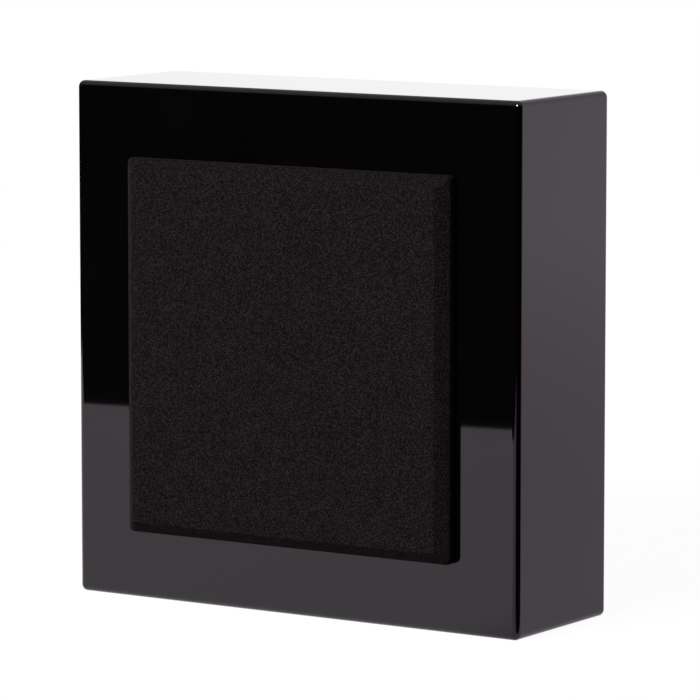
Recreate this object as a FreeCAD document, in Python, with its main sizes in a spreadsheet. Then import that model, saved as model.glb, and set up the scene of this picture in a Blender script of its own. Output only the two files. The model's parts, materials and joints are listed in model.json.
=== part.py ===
import FreeCAD, Part
import math
import os
import re
import Sketcher

V = FreeCAD.Vector

# Edges this near to a height, in millimetres, count as lying at it.
SAME_HEIGHT = 1e-4

# A lead's volume may differ from its section times its length by this share.
LEAD_TOLERANCE = 0.02

# Small closed two-way speaker that hangs on a wall or stands on a shelf.
# World axes: X to the right seen from the front, Y into the wall, Z up.
# The origin lies in the wall plane, midway between the two keyhole entries.
# Every piece is drawn in its own frame: x to the right, y up, z out of the front.

# Name, number in millimetres, and what the number sets.
DIMENSIONS = [
    ("cabinet_width", "220", "outer width of the cabinet"),
    ("cabinet_height", "220", "outer height of the cabinet"),
    ("cabinet_depth", "72", "baffle face to wall plane"),
    ("hanger_drop", "45", "cabinet top down to the keyhole entries"),
    ("hanger_spacing", "120", "distance between the two keyholes"),
    ("edge_radius", "2.8", "rounding of the lacquered edges"),
    ("wall_thickness", "12", "side, top and bottom boards"),
    ("baffle_thickness", "15", "front board"),
    ("corner_block", "20", "side of the blocks in the inner corners"),
    ("rebate_lip", "6", "rim left around the rear panel"),
    ("rear_panel_thickness", "10", "rear board"),
    ("panel_gap", "0.4", "clearance around the rear panel"),
    ("gasket_width", "5", "foam seal, across"),
    ("gasket_thickness", "1", "foam seal, pressed"),
    ("fit_gap", "0.3", "clearance around pieces let into the boards"),
    ("thread_gap", "0.05", "clearance around screws and spigots"),
    ("panel_screw_radius", "2", "rear panel screw shank"),
    ("panel_screw_head", "4", "rear panel screw head, radius"),
    ("panel_screw_length", "26", "rear panel screw, whole length"),
    ("wadding_thickness", "10", "damping pads on the side walls"),
    ("wadding_height", "80", "damping pads, up"),
    ("wadding_depth", "36", "damping pads, front to back"),
    ("wadding_clearance", "3", "air between damping pads and rear board"),

    ("woofer_x", "-18", "woofer axis right of the cabinet centre"),
    ("woofer_y", "-18", "woofer axis above the cabinet centre"),
    ("woofer_flange_radius", "58", "basket flange"),
    ("woofer_flange_thickness", "4", "basket flange"),
    ("woofer_mouth_radius", "46", "basket opening"),
    ("woofer_land_width", "4", "land that holds the surround"),
    ("surround_thickness", "0.6", "rubber surround"),
    ("surround_roll", "3.6", "radius of the surround's half roll"),
    ("surround_lip", "2", "surround glued to the cone"),
    ("trim_ring_thickness", "1", "ring over the surround's rim"),
    ("basket_wall", "2.5", "basket spokes and rings"),
    ("basket_window_margin", "1.5", "rim of the basket's windows"),
    ("basket_seat_margin", "1.5", "basket bore wider than the top plate's"),
    ("basket_depth", "30", "flange face to the top plate"),
    ("spider_depth", "21", "flange face to the spider's shelf"),
    ("spider_radius", "34", "spider's outer rim"),
    ("spider_rim", "4", "spider glued to its shelf"),
    ("spider_thickness", "0.5", "spider cloth"),
    ("spider_wave", "1.2", "height of the spider's folds"),
    ("former_radius", "12.6", "inside of the coil former"),
    ("former_thickness", "0.25", "coil former wall"),
    ("coil_thickness", "0.55", "voice coil winding"),
    ("coil_length", "8", "voice coil winding"),
    ("coil_gap", "0.4", "air on each side of the coil"),
    ("former_overhang", "0.5", "former past the end of the winding"),
    ("cone_thickness", "0.6", "paper cone"),
    ("cone_neck_depth", "17", "flange face to the cone's neck"),
    ("dust_cap_radius", "17", "dust cap rim"),
    ("dust_cap_rise", "5.5", "height of the dust cap"),
    ("dust_cap_thickness", "0.5", "dust cap wall"),
    ("dust_cap_foot", "0.7", "dust cap's rim glued to the cone"),
    ("top_plate_radius", "30", "front plate of the woofer motor"),
    ("top_plate_thickness", "5", "front plate of the woofer motor"),
    ("magnet_radius", "36", "woofer ring magnet"),
    ("magnet_thickness", "12", "woofer ring magnet"),
    ("magnet_bore", "17", "woofer ring magnet, hole radius"),
    ("yoke_radius", "33", "rear plate of the woofer motor"),
    ("yoke_thickness", "5", "rear plate of the woofer motor"),
    ("woofer_screw_radius", "1.8", "woofer screw shank"),
    ("woofer_screw_head", "3.4", "woofer screw head, radius"),
    ("woofer_screw_length", "13", "woofer screw, whole length"),
    ("woofer_strip_gap", "0.8", "air between the tag strip and the basket's neck"),
    ("woofer_strip_width", "16", "woofer's tag strip, across"),
    ("woofer_strip_height", "14", "woofer's tag strip, up"),

    ("tweeter_x", "44", "tweeter axis right of the cabinet centre"),
    ("tweeter_y", "44", "tweeter axis above the cabinet centre"),
    ("tweeter_flange_radius", "26", "faceplate"),
    ("tweeter_flange_thickness", "3", "faceplate"),
    ("tweeter_mouth_radius", "16.5", "faceplate opening at the back"),
    ("tweeter_flare", "3.5", "widening of the opening to the front"),
    ("tweeter_throat", "0.75", "straight part of the opening"),
    ("dome_radius", "12.9", "dome at the voice coil"),
    ("dome_rise", "5", "height of the dome"),
    ("dome_thickness", "0.3", "coated silk"),
    ("dome_roll", "1.1", "radius of the dome's half roll"),
    ("dome_rim", "3", "silk clamped behind the faceplate"),
    ("dome_seat", "0.2", "flat between dome and half roll"),
    ("tweeter_coil_thickness", "0.4", "tweeter coil on its former"),
    ("tweeter_coil_length", "4", "tweeter coil on its former"),
    ("pole_plate_thickness", "2.5", "tweeter pole plate"),
    ("pole_plate_depth", "1.2", "pole plate below the dome's rim"),
    ("slug_thickness", "5", "tweeter magnet"),
    ("slug_inset", "1.2", "tweeter magnet smaller than the pole plate"),
    ("pot_wall", "5", "tweeter pot"),
    ("pot_floor", "3", "tweeter pot"),
    ("pot_rebate", "1", "room under the dome's half roll"),
    ("tweeter_strip_width", "24", "tweeter's tag strip, across"),
    ("tweeter_strip_height", "10", "tweeter's tag strip, up"),
    ("tweeter_screw_radius", "1.5", "tweeter screw shank"),
    ("tweeter_screw_head", "2.7", "tweeter screw head, radius"),
    ("tweeter_screw_length", "12", "tweeter screw, whole length"),

    ("grille_width", "160.8", "cloth panel over its cloth"),
    ("grille_height", "159.6", "cloth panel over its cloth"),
    ("grille_offset", "-1", "cloth panel above the cabinet centre"),
    ("grille_depth", "8.4", "cloth panel, front to back"),
    ("grille_bevel", "5", "sloped rim of the cloth panel"),
    ("grille_corner", "2.2", "corner rounding of the cloth panel"),
    ("grille_clearance", "0.8", "air between baffle and cloth"),
    ("cloth_thickness", "0.6", "grille cloth"),
    ("cloth_fold", "4.5", "cloth turned over behind the board"),
    ("grille_hole_margin", "6", "board openings wider than the drivers' mouths"),
    ("peg_x", "71.4", "grille pegs from the panel's middle"),
    ("peg_y", "70.8", "grille pegs from the panel's middle"),
    ("peg_radius", "2.4", "peg shaft and spigot"),
    ("peg_shoulder", "3.6", "peg shoulder, radius"),
    ("peg_length", "9", "peg below the baffle face"),
    ("peg_spigot", "4.5", "peg inside the board"),
    ("cup_rim_radius", "6", "rubber peg cup, rim"),
    ("cup_body_radius", "4.4", "rubber peg cup, body"),
    ("cup_body_depth", "11", "rubber peg cup, below the baffle face"),
    ("peg_fit", "0.1", "air between peg and cup"),
    ("peg_end_gap", "1", "air between peg and the cup's floor"),

    ("keyhole_plate_width", "18", "steel hanger plate"),
    ("keyhole_plate_height", "42", "steel hanger plate"),
    ("keyhole_plate_lift", "4", "plate's middle above its entry hole"),
    ("keyhole_plate_thickness", "1.5", "steel hanger plate"),
    ("keyhole_plate_corner", "3", "steel hanger plate, corner rounding"),
    ("keyhole_entry_radius", "4.5", "entry for the wall screw's head"),
    ("keyhole_slot_width", "5", "slot for the wall screw's shank"),
    ("keyhole_slot_rise", "10", "entry up to the slot's end"),
    ("keyhole_pocket_depth", "6", "room behind the plate"),
    ("keyhole_pocket_margin", "1", "room around the wall screw's head"),
    ("keyhole_screw_inset", "5", "plate screws from the plate's ends"),
    ("keyhole_screw_radius", "1.4", "hanger plate screw shank"),
    ("keyhole_screw_head", "2.6", "hanger plate screw head, radius"),
    ("keyhole_screw_length", "8", "hanger plate screw, whole length"),

    ("terminal_x", "52", "terminal cup right of the cabinet centre"),
    ("terminal_y", "-52", "terminal cup above the cabinet centre"),
    ("terminal_width", "52", "cup behind the flange, across"),
    ("terminal_height", "42", "cup behind the flange, up"),
    ("terminal_depth", "26", "cup, front to back"),
    ("terminal_wall", "2", "cup walls and floor"),
    ("terminal_flange", "7", "flange wider than the cup"),
    ("terminal_flange_thickness", "2.5", "cup flange"),
    ("terminal_corner", "4", "cup corners"),
    ("terminal_screw_radius", "1.4", "cup screw shank"),
    ("terminal_screw_head", "2.6", "cup screw head, radius"),
    ("terminal_screw_length", "9", "cup screw, whole length"),
    ("post_spacing", "19", "distance between the two terminals"),
    ("post_lift", "6", "terminals above the cup's middle"),
    ("post_radius", "3", "terminal stem"),
    ("post_length", "21", "terminal stem and seat"),
    ("post_seat_radius", "5", "terminal seat on the cup floor"),
    ("post_seat_thickness", "2", "terminal seat on the cup floor"),
    ("post_bore_radius", "2", "socket for a banana plug"),
    ("post_bore_depth", "13", "socket for a banana plug"),
    ("post_wire_hole", "1.3", "cross hole for bare wire, radius"),
    ("post_shank_radius", "2.4", "threaded end behind the cup"),
    ("post_shank_length", "9", "threaded end behind the cup's inner face"),
    ("clamp_ring_radius", "4.8", "ring that presses on the wire"),
    ("clamp_ring_thickness", "1.5", "ring that presses on the wire"),
    ("cap_radius", "5.6", "fluted terminal cap"),
    ("cap_length", "12", "fluted terminal cap"),
    ("cap_gap", "0.4", "air between cap and stem"),
    ("cap_collar", "1.5", "plain band at the cap's inner end"),
    ("flute_radius", "0.8", "grooves of the cap"),
    ("flute_depth", "0.45", "grooves of the cap"),
    ("nut_radius", "4.6", "terminal nut across its corners, half"),
    ("nut_thickness", "3", "terminal nut"),
    ("tag_thickness", "0.6", "solder tag"),
    ("tag_width", "7", "solder tag"),
    ("tag_length", "14", "solder tag from the terminal's axis"),
    ("tag_corner", "3", "solder tag, corner rounding"),
    ("strip_thickness", "1.2", "fibre strips that carry the drivers' tags"),
    ("driver_tag_width", "4", "solder tags of the drivers"),
    ("driver_tag_length", "8", "solder tags of the drivers"),
    ("woofer_tag_spacing", "8", "distance between the woofer's two tags"),
    ("tweeter_tag_spacing", "20", "distance between the tweeter's two tags"),
    ("lead_radius", "0.9", "insulated lead"),
    ("lead_bend", "6", "bends of the leads, along the middle"),
    ("lead_rise", "10", "leads straight out of their joints"),

    ("board_x", "-53", "crossover board right of the cabinet centre"),
    ("board_y", "48", "crossover board above the cabinet centre"),
    ("board_width", "50", "crossover board"),
    ("board_height", "54", "crossover board"),
    ("board_thickness", "1.6", "crossover board"),
    ("board_inset", "4", "board screws from the board's edges"),
    ("standoff_radius", "3", "spacer under the board"),
    ("standoff_height", "6", "spacer under the board"),
    ("board_screw_radius", "1.4", "board screw shank"),
    ("board_screw_head", "2.6", "board screw head, radius"),
    ("board_screw_length", "13", "board screw below its head"),
    ("part_margin", "4", "board parts from the board's edges"),
    ("pad_spacing", "5", "distance between a pair of solder pads"),
    ("terminal_pad_x", "11", "terminal leads' pads right of the board's middle"),
    ("terminal_pad_y", "-21.5", "terminal leads' pads above the board's middle"),
    ("woofer_pad_x", "23", "woofer leads' pads right of the board's middle"),
    ("woofer_pad_y", "-5.5", "woofer leads' pads above the board's middle"),
    ("tweeter_pad_x", "16", "tweeter leads' pads right of the board's middle"),
    ("tweeter_pad_y", "18.5", "tweeter leads' pads above the board's middle"),
    ("bobbin_x", "-6", "crossover coil right of the board's middle"),
    ("bobbin_y", "-8", "crossover coil above the board's middle"),
    ("bobbin_radius", "14", "crossover coil, cheeks"),
    ("bobbin_core", "7", "crossover coil, core"),
    ("bobbin_bore", "4", "crossover coil, hole"),
    ("winding_inset", "1", "copper below the coil's cheeks"),
    ("bobbin_height", "15", "crossover coil, whole height"),
    ("bobbin_cheek", "1.5", "crossover coil, cheeks"),
    ("capacitor_radius", "6", "film capacitor"),
    ("capacitor_length", "24", "film capacitor"),
    ("resistor_width", "9", "ceramic resistor, across and high"),
    ("resistor_length", "22", "ceramic resistor"),
]

WOOFER_SCREW_ANGLES = (45, 135, 225, 315)
TWEETER_SCREW_ANGLES = (90, 210, 330)
BASKET_WINDOWS = 6
BASKET_WINDOW_HALF_ANGLE = 20
SPIDER_STEPS = 8
CAP_FLUTES = 16
CORNERS = ((-1, -1), (1, -1), (1, 1), (-1, 1))
SIDES = (("left", -1), ("right", 1))

doc = FreeCAD.newDocument("wall_speaker")
sheet = doc.addObject("Spreadsheet::Sheet", "dims")
for row, (alias, number, meaning) in enumerate(DIMENSIONS, start=1):
    sheet.set(f"A{row}", meaning)
    sheet.set(f"B{row}", number)
    sheet.setAlias(f"B{row}", alias)
doc.recompute()

SIZE_NAMES = {alias for alias, number, meaning in DIMENSIONS}
FACING_FRONT = FreeCAD.Rotation(V(1, 0, 0), 90)
pieces = []


def bound(text):
    """The expression with every size name pointed at the spreadsheet."""
    def point(match):
        word = match.group()
        return f"dims.{word}" if word in SIZE_NAMES else word
    return re.sub(r"[a-z]\w*", point, text)


def value(text):
    """The expression's number."""
    return float(sheet.evalExpression(bound(text)))


def new_body(label, right="0", up="0", forward="0", kept=True):
    """An empty piece whose own z looks out of the speaker's front."""
    body = doc.addObject("PartDesign::Body", label)
    body.Label = label
    body.Placement = FreeCAD.Placement(V(0, 0, 0), FACING_FRONT)
    body.setExpression("Placement.Base.x", bound(right))
    body.setExpression("Placement.Base.y", bound(f"-({forward})"))
    body.setExpression("Placement.Base.z", bound(up))
    if kept:
        pieces.append(body)
    return body


def new_sketch(body, plane="XY_Plane", height="0"):
    """A sketch on one of the piece's own planes, moved along that plane's normal."""
    sketch = body.newObject("Sketcher::SketchObject", f"{body.Label}_sketch")
    base = next(item for item in body.Origin.OriginFeatures if item.Role == plane)
    sketch.AttachmentSupport = [(base, "")]
    sketch.MapMode = "FlatFace"
    sketch.setExpression("AttachmentOffset.Base.z", bound(height))
    return sketch


def drive(sketch, constraint, text):
    """Adds one constraint and ties its number to the spreadsheet."""
    index = sketch.addConstraint(constraint)
    sketch.setExpression(f"Constraints[{index}]", bound(text))


def pin(sketch, geometry, point, x, y):
    """Holds one point of a sketch at (x, y)."""
    drive(sketch, Sketcher.Constraint("DistanceX", -1, 1, geometry, point, value(x)), x)
    drive(sketch, Sketcher.Constraint("DistanceY", -1, 1, geometry, point, value(y)), y)


def circle(sketch, radius, x="0", y="0"):
    """One full circle."""
    centre = V(value(x), value(y), 0)
    index = sketch.addGeometry(Part.Circle(centre, V(0, 0, 1), value(radius)))
    pin(sketch, index, 3, x, y)
    drive(sketch, Sketcher.Constraint("Radius", index, value(radius)), radius)


def arc_between(start, end, radius, turn):
    """The shorter arc from start to end; turn is 1 for anticlockwise, -1 for clockwise."""
    middle = (start + end) * 0.5
    chord = end - start
    reach = math.sqrt(max(radius ** 2 - (chord.Length / 2) ** 2, 0.0))
    normal = V(-chord.y, chord.x, 0).normalize()
    centre = middle + normal * (reach * turn)
    first, last = (start, end) if turn > 0 else (end, start)
    begin = math.atan2(first.y - centre.y, first.x - centre.x)
    finish = math.atan2(last.y - centre.y, last.x - centre.x)
    if finish <= begin:
        finish += 2 * math.pi
    return Part.ArcOfCircle(Part.Circle(centre, V(0, 0, 1), radius), begin, finish)


def outline(sketch, corners):
    """A closed outline through corners (x, y), or (x, y, radius, turn) where an arc leads to it."""
    spots = [V(value(corner[0]), value(corner[1]), 0) for corner in corners]
    ends = []
    for number, corner in enumerate(corners):
        start = spots[number - 1]
        end = spots[number]
        if len(corner) == 2:
            index = sketch.addGeometry(Part.LineSegment(start, end))
            ends.append((index, 1, 2))
        else:
            radius, turn = corner[2], corner[3]
            index = sketch.addGeometry(arc_between(start, end, value(radius), turn))
            ends.append((index, 1, 2) if turn > 0 else (index, 2, 1))
    for number, corner in enumerate(corners):
        index, first, last = ends[number]
        following, next_first, next_last = ends[(number + 1) % len(corners)]
        sketch.addConstraint(Sketcher.Constraint("Coincident", index, last, following, next_first))
        pin(sketch, index, last, corner[0], corner[1])
        if len(corner) > 2:
            drive(sketch, Sketcher.Constraint("Radius", index, value(corner[2])), corner[2])


def rectangle(sketch, width, height, x="0", y="0"):
    """A rectangle about the point (x, y)."""
    outline(sketch, [(f"{x} + {sx} * ({width}) / 2", f"{y} + {sy} * ({height}) / 2") for sx, sy in CORNERS])


def rounded_rectangle(sketch, width, height, radius, x="0", y="0"):
    """A rectangle with rounded corners about the point (x, y)."""
    corners = []
    for sx, sy in CORNERS:
        far_x = f"{x} + {sx} * ({width}) / 2"
        far_y = f"{y} + {sy} * ({height}) / 2"
        near_x = f"{x} + {sx} * (({width}) / 2 - ({radius}))"
        near_y = f"{y} + {sy} * (({height}) / 2 - ({radius}))"
        before, after = ((far_x, near_y), (near_x, far_y))
        if sx * sy > 0:
            corners += [before, after + (radius, 1)]
        else:
            corners += [after, before + (radius, 1)]
    outline(sketch, corners)


def add(kind, sketch, length, backward=False, taper=None):
    """A pad or pocket from the sketch, forward along the piece's z unless backward."""
    body = sketch.getParentGeoFeatureGroup()
    before = body.Shape.Volume if body.Tip else 0.0
    feature = body.newObject(f"PartDesign::{kind}", f"{body.Label}_{kind.lower()}")
    feature.Profile = sketch
    feature.Reversed = backward if kind == "Pad" else not backward
    feature.setExpression("Length", bound(length))
    if taper:
        feature.setExpression("TaperAngle", bound(taper))
    sketch.Visibility = False
    doc.recompute()
    change = body.Shape.Volume - before
    if (kind == "Pad" and change <= 0) or (kind == "Pocket" and change >= 0):
        raise RuntimeError(f"{feature.Name} leaves the volume of {body.Label} unchanged")
    return feature


def pad(sketch, length, backward=False, taper=None):
    return add("Pad", sketch, length, backward, taper)


def pocket(sketch, length, backward=False, taper=None):
    return add("Pocket", sketch, length, backward, taper)


def revolve(body, corners):
    """A turned piece from an outline of (radius, forward) corners."""
    sketch = new_sketch(body, "XZ_Plane")
    outline(sketch, corners)
    feature = body.newObject("PartDesign::Revolution", f"{body.Label}_turned")
    feature.Profile = sketch
    feature.ReferenceAxis = (sketch, ["V_Axis"])
    feature.Angle = 360
    sketch.Visibility = False
    doc.recompute()


def soften(body, kind, size, chosen):
    """Rounds or bevels the edges that chosen picks."""
    base = body.Tip
    names = [f"Edge{number}" for number, edge in enumerate(base.Shape.Edges, start=1) if chosen(edge)]
    feature = body.newObject(f"PartDesign::{kind}", f"{body.Label}_{kind.lower()}")
    feature.Base = (base, names)
    feature.setExpression("Radius" if kind == "Fillet" else "Size", bound(size))
    doc.recompute()


def lies_at(height):
    """Picks edges that lie wholly at one height of the piece's z."""
    level = value(height)

    def chosen(edge):
        box = edge.BoundBox
        return abs(box.ZMin - level) < SAME_HEIGHT and abs(box.ZMax - level) < SAME_HEIGHT
    return chosen


def every_edge(edge):
    return True


def around(radius, angles):
    """Places on a circle."""
    return [(f"({radius}) * cos({angle} deg)", f"({radius}) * sin({angle} deg)") for angle in angles]


def at_corners(x, y, middle_x="0", middle_y="0"):
    """The four places at plus and minus x and y from a middle."""
    return [(f"{middle_x} + {sx} * ({x})", f"{middle_y} + {sy} * ({y})") for sx, sy in CORNERS]


def circles(body, radius, places, height="0"):
    """A sketch with the same circle at every place."""
    sketch = new_sketch(body, height=height)
    for x, y in places:
        circle(sketch, radius, x, y)
    return sketch


def head_height(name):
    """Depth of a countersunk head whose sides slope at 45 degrees."""
    return f"({name}_head - {name}_radius)"


def countersunk_screws(label, name, places, backward, **at):
    """Flat-headed screws with their heads level with the piece's own zero plane."""
    body = new_body(label, **at)
    sunk = f"{'-' if backward else ''}{head_height(name)}"
    pad(circles(body, f"{name}_head", places), head_height(name), backward, "-45")
    pad(circles(body, f"{name}_radius", places, sunk), f"{name}_length - {head_height(name)}", backward)


def countersunk_holes(body, name, places, depth, backward, height="0"):
    """Holes that take such screws, from a face at the given height."""
    pocket(circles(body, f"{name}_radius + thread_gap", places, height), depth, backward)
    widened = f"{name}_head + thread_gap"
    pocket(circles(body, widened, places, height), head_height(name), backward, "-45")


# Places and levels that several pieces share.
MID_UP = "(hanger_drop - cabinet_height / 2)"
AT_BACK = {"up": MID_UP}
AT_WOOFER = {"right": "woofer_x", "up": f"{MID_UP} + woofer_y", "forward": "cabinet_depth"}
AT_TWEETER = {"right": "tweeter_x", "up": f"{MID_UP} + tweeter_y", "forward": "cabinet_depth"}
AT_GRILLE = {"up": f"{MID_UP} + grille_offset", "forward": "cabinet_depth"}
AT_TERMINAL = {"right": "terminal_x", "up": f"{MID_UP} + terminal_y"}
INNER_X = "(cabinet_width / 2 - wall_thickness)"
INNER_Y = "(cabinet_height / 2 - wall_thickness)"
LEDGE = "(rear_panel_thickness + gasket_thickness)"
BLOCK_SCREWS = at_corners(f"{INNER_X} - corner_block / 2", f"{INNER_Y} - corner_block / 2")

WOOFER_BODY = "(woofer_mouth_radius + basket_wall)"
WOOFER_LAND = "(woofer_mouth_radius + woofer_land_width)"
LAND_DEPTH = "(trim_ring_thickness + surround_thickness)"
WOOFER_SCREWS = around(f"({WOOFER_LAND} + woofer_flange_radius) / 2", WOOFER_SCREW_ANGLES)
FORMER_OUTER = "(former_radius + former_thickness)"
COIL_OUTER = f"({FORMER_OUTER} + coil_thickness)"
PLATE_BORE = f"({COIL_OUTER} + coil_gap)"
GAP_MIDDLE = "(basket_depth + top_plate_thickness / 2)"

DOME_LEVEL = "tweeter_flange_thickness"
TWEETER_POLE = "(dome_radius - tweeter_coil_thickness / 2 - coil_gap)"
POT_BORE = "(dome_radius + tweeter_coil_thickness / 2 + coil_gap)"
POT_RADIUS = f"({POT_BORE} + pot_wall)"
POLE_FRONT = f"({DOME_LEVEL} + dome_thickness + pole_plate_depth)"
SLUG_FRONT = f"({POLE_FRONT} + pole_plate_thickness)"
POT_INSIDE = f"({SLUG_FRONT} + slug_thickness)"
TWEETER_RIM = "(tweeter_mouth_radius + tweeter_flare)"
TWEETER_SCREWS = around(f"({TWEETER_RIM} + tweeter_flange_radius) / 2", TWEETER_SCREW_ANGLES)

PEGS = at_corners("peg_x", "peg_y")
PEGS_IN_BAFFLE = at_corners("peg_x", "peg_y", "0", "grille_offset")
BOARD_BACK = "(grille_clearance + cloth_thickness)"
BOARD_FRONT = "(grille_clearance + grille_depth - cloth_thickness)"
BOARD_BEVEL = "(grille_bevel - (2 - sqrt(2)) * cloth_thickness)"

TERMINAL_REACH = ("(terminal_width + terminal_flange) / 2", "(terminal_height + terminal_flange) / 2")
TERMINAL_SCREWS = at_corners(*TERMINAL_REACH)
TERMINAL_SCREWS_IN_PANEL = at_corners(*TERMINAL_REACH, "terminal_x", "terminal_y")
POST_PLACES = [(f"{side} * post_spacing / 2", "post_lift") for name, side in SIDES]
CUP_FLOOR = "(terminal_depth - terminal_wall)"
BOARD_LEVEL = "(rear_panel_thickness + standoff_height)"
BOARD_TOP = f"({BOARD_LEVEL} + board_thickness)"
BOARD_REACH = ("board_width / 2 - board_inset", "board_height / 2 - board_inset")
BOARD_SCREWS = at_corners(*BOARD_REACH)
BOARD_SCREWS_IN_PANEL = at_corners(*BOARD_REACH, "board_x", "board_y")
KEYHOLE_SCREW_RISE = "(keyhole_plate_height / 2 - keyhole_screw_inset)"


def hanger_place(side):
    """Keyhole entry from the cabinet's middle."""
    return f"{side} * hanger_spacing / 2", f"-({MID_UP})"


# Lacquered carcass: four boards, baffle and corner blocks glued into one.
shell = new_body("cabinet_shell", **AT_BACK)
sketch = new_sketch(shell)
rectangle(sketch, "cabinet_width", "cabinet_height")
pad(sketch, "cabinet_depth")
soften(shell, "Fillet", "edge_radius", every_edge)
sketch = new_sketch(shell)
cavity = []
for sx, sy in CORNERS:
    wall = (f"{sx} * {INNER_X}", f"{sy} * ({INNER_Y} - corner_block)")
    inner = (f"{sx} * ({INNER_X} - corner_block)", f"{sy} * ({INNER_Y} - corner_block)")
    ceiling = (f"{sx} * ({INNER_X} - corner_block)", f"{sy} * {INNER_Y}")
    cavity += [wall, inner, ceiling] if sx * sy > 0 else [ceiling, inner, wall]
outline(sketch, cavity)
pocket(sketch, "cabinet_depth - baffle_thickness")
sketch = new_sketch(shell)
rectangle(sketch, "cabinet_width - 2 * rebate_lip", "cabinet_height - 2 * rebate_lip")
pocket(sketch, LEDGE)
for x, y, flange, thickness, body_radius in (
        ("woofer_x", "woofer_y", "woofer_flange_radius", "woofer_flange_thickness", WOOFER_BODY),
        ("tweeter_x", "tweeter_y", "tweeter_flange_radius", "tweeter_flange_thickness", POT_RADIUS)):
    pocket(circles(shell, f"{flange} + fit_gap", [(x, y)], "cabinet_depth"), thickness, True)
    pocket(circles(shell, f"{body_radius} + fit_gap", [(x, y)], "cabinet_depth"), "baffle_thickness", True)
for name, places, x, y in (("woofer", WOOFER_SCREWS, "woofer_x", "woofer_y"),
                           ("tweeter", TWEETER_SCREWS, "tweeter_x", "tweeter_y")):
    moved = [(f"{x} + {px}", f"{y} + {py}") for px, py in places]
    pocket(circles(shell, f"{name}_screw_radius + thread_gap", moved, "cabinet_depth"),
           f"{name}_screw_length + fit_gap", True)
pocket(circles(shell, "cup_body_radius", PEGS_IN_BAFFLE, "cabinet_depth"), "cup_body_depth", True)
pocket(circles(shell, "panel_screw_radius + thread_gap", BLOCK_SCREWS), "panel_screw_length + fit_gap")

# Rear board, let into the carcass and level with its rim.
panel = new_body("rear_panel", **AT_BACK)
sketch = new_sketch(panel)
rectangle(sketch, "cabinet_width - 2 * rebate_lip - 2 * panel_gap",
          "cabinet_height - 2 * rebate_lip - 2 * panel_gap")
pad(sketch, "rear_panel_thickness")
countersunk_holes(panel, "panel_screw", BLOCK_SCREWS, "rear_panel_thickness", False)
sketch = new_sketch(panel)
rounded_rectangle(sketch, "terminal_width + 2 * terminal_flange + 2 * fit_gap",
                  "terminal_height + 2 * terminal_flange + 2 * fit_gap",
                  "terminal_corner + fit_gap", "terminal_x", "terminal_y")
pocket(sketch, "terminal_flange_thickness")
sketch = new_sketch(panel)
rounded_rectangle(sketch, "terminal_width + 2 * fit_gap", "terminal_height + 2 * fit_gap",
                  "terminal_corner + fit_gap", "terminal_x", "terminal_y")
pocket(sketch, "rear_panel_thickness")
pocket(circles(panel, "terminal_screw_radius + thread_gap", TERMINAL_SCREWS_IN_PANEL),
       "terminal_screw_length + fit_gap")
pocket(circles(panel, "board_screw_radius + thread_gap", BOARD_SCREWS_IN_PANEL, "rear_panel_thickness"),
       "board_screw_length - standoff_height - board_thickness + fit_gap", True)
for name, side in SIDES:
    x, y = hanger_place(side)
    sketch = new_sketch(panel)
    rounded_rectangle(sketch, "keyhole_plate_width + 2 * fit_gap", "keyhole_plate_height + 2 * fit_gap",
                      "keyhole_plate_corner + fit_gap", x, f"{y} + keyhole_plate_lift")
    pocket(sketch, "keyhole_plate_thickness")
    sketch = new_sketch(panel)
    head_room = "2 * (keyhole_entry_radius + keyhole_pocket_margin)"
    rounded_rectangle(sketch, head_room, f"{head_room} + keyhole_slot_rise", "keyhole_entry_radius", x,
                      f"{y} + keyhole_slot_rise / 2")
    pocket(sketch, "keyhole_plate_thickness + keyhole_pocket_depth")
    screws = [(x, f"{y} + keyhole_plate_lift + {end} * {KEYHOLE_SCREW_RISE}") for end in (-1, 1)]
    pocket(circles(panel, "keyhole_screw_radius + thread_gap", screws), "keyhole_screw_length + fit_gap")

gasket = new_body("rear_gasket", forward="rear_panel_thickness", **AT_BACK)
sketch = new_sketch(gasket)
for inset in ("0", "gasket_width"):
    rectangle(sketch, f"cabinet_width - 2 * rebate_lip - 2 * panel_gap - 2 * ({inset})",
              f"cabinet_height - 2 * rebate_lip - 2 * panel_gap - 2 * ({inset})")
pad(sketch, "gasket_thickness")

countersunk_screws("rear_panel_screws", "panel_screw", BLOCK_SCREWS, False, **AT_BACK)

# Damping pads glued to the two side walls.
for name, side in SIDES:
    wadding = new_body(f"wadding_{name}", right=f"{side} * ({INNER_X} - wadding_thickness / 2)",
                       up=MID_UP, forward=f"{LEDGE} + wadding_clearance")
    sketch = new_sketch(wadding)
    rectangle(sketch, "wadding_thickness", "wadding_height")
    pad(sketch, "wadding_depth")
    soften(wadding, "Fillet", "wadding_thickness / 4", every_edge)

# Woofer basket: flange, six spokes, spider shelf and seat for the motor.
basket = new_body("woofer_basket", **AT_WOOFER)
shelf_outer = "(spider_radius + fit_gap)"
shelf_inner = "(spider_radius - spider_rim - fit_gap)"
seat_bore = f"({PLATE_BORE} + basket_seat_margin)"
shelf_under = "-(spider_depth + basket_wall)"
neck_outer = f"({shelf_inner} + basket_wall)"
revolve(basket, [
    ("woofer_flange_radius", "0"),
    ("woofer_flange_radius", "-woofer_flange_thickness"),
    (WOOFER_BODY, "-woofer_flange_thickness"),
    (f"{shelf_outer} + basket_wall", shelf_under),
    (neck_outer, shelf_under),
    (neck_outer, "-basket_depth"),
    (seat_bore, "-basket_depth"),
    (seat_bore, "-(basket_depth - basket_wall)"),
    (shelf_inner, "-(basket_depth - basket_wall)"),
    (shelf_inner, "-spider_depth"),
    (shelf_outer, "-spider_depth"),
    ("woofer_mouth_radius", "-woofer_flange_thickness"),
    ("woofer_mouth_radius", f"-{LAND_DEPTH}"),
    (WOOFER_LAND, f"-{LAND_DEPTH}"),
    (WOOFER_LAND, "0"),
])
sketch = new_sketch(basket, height="-basket_depth")
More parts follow.
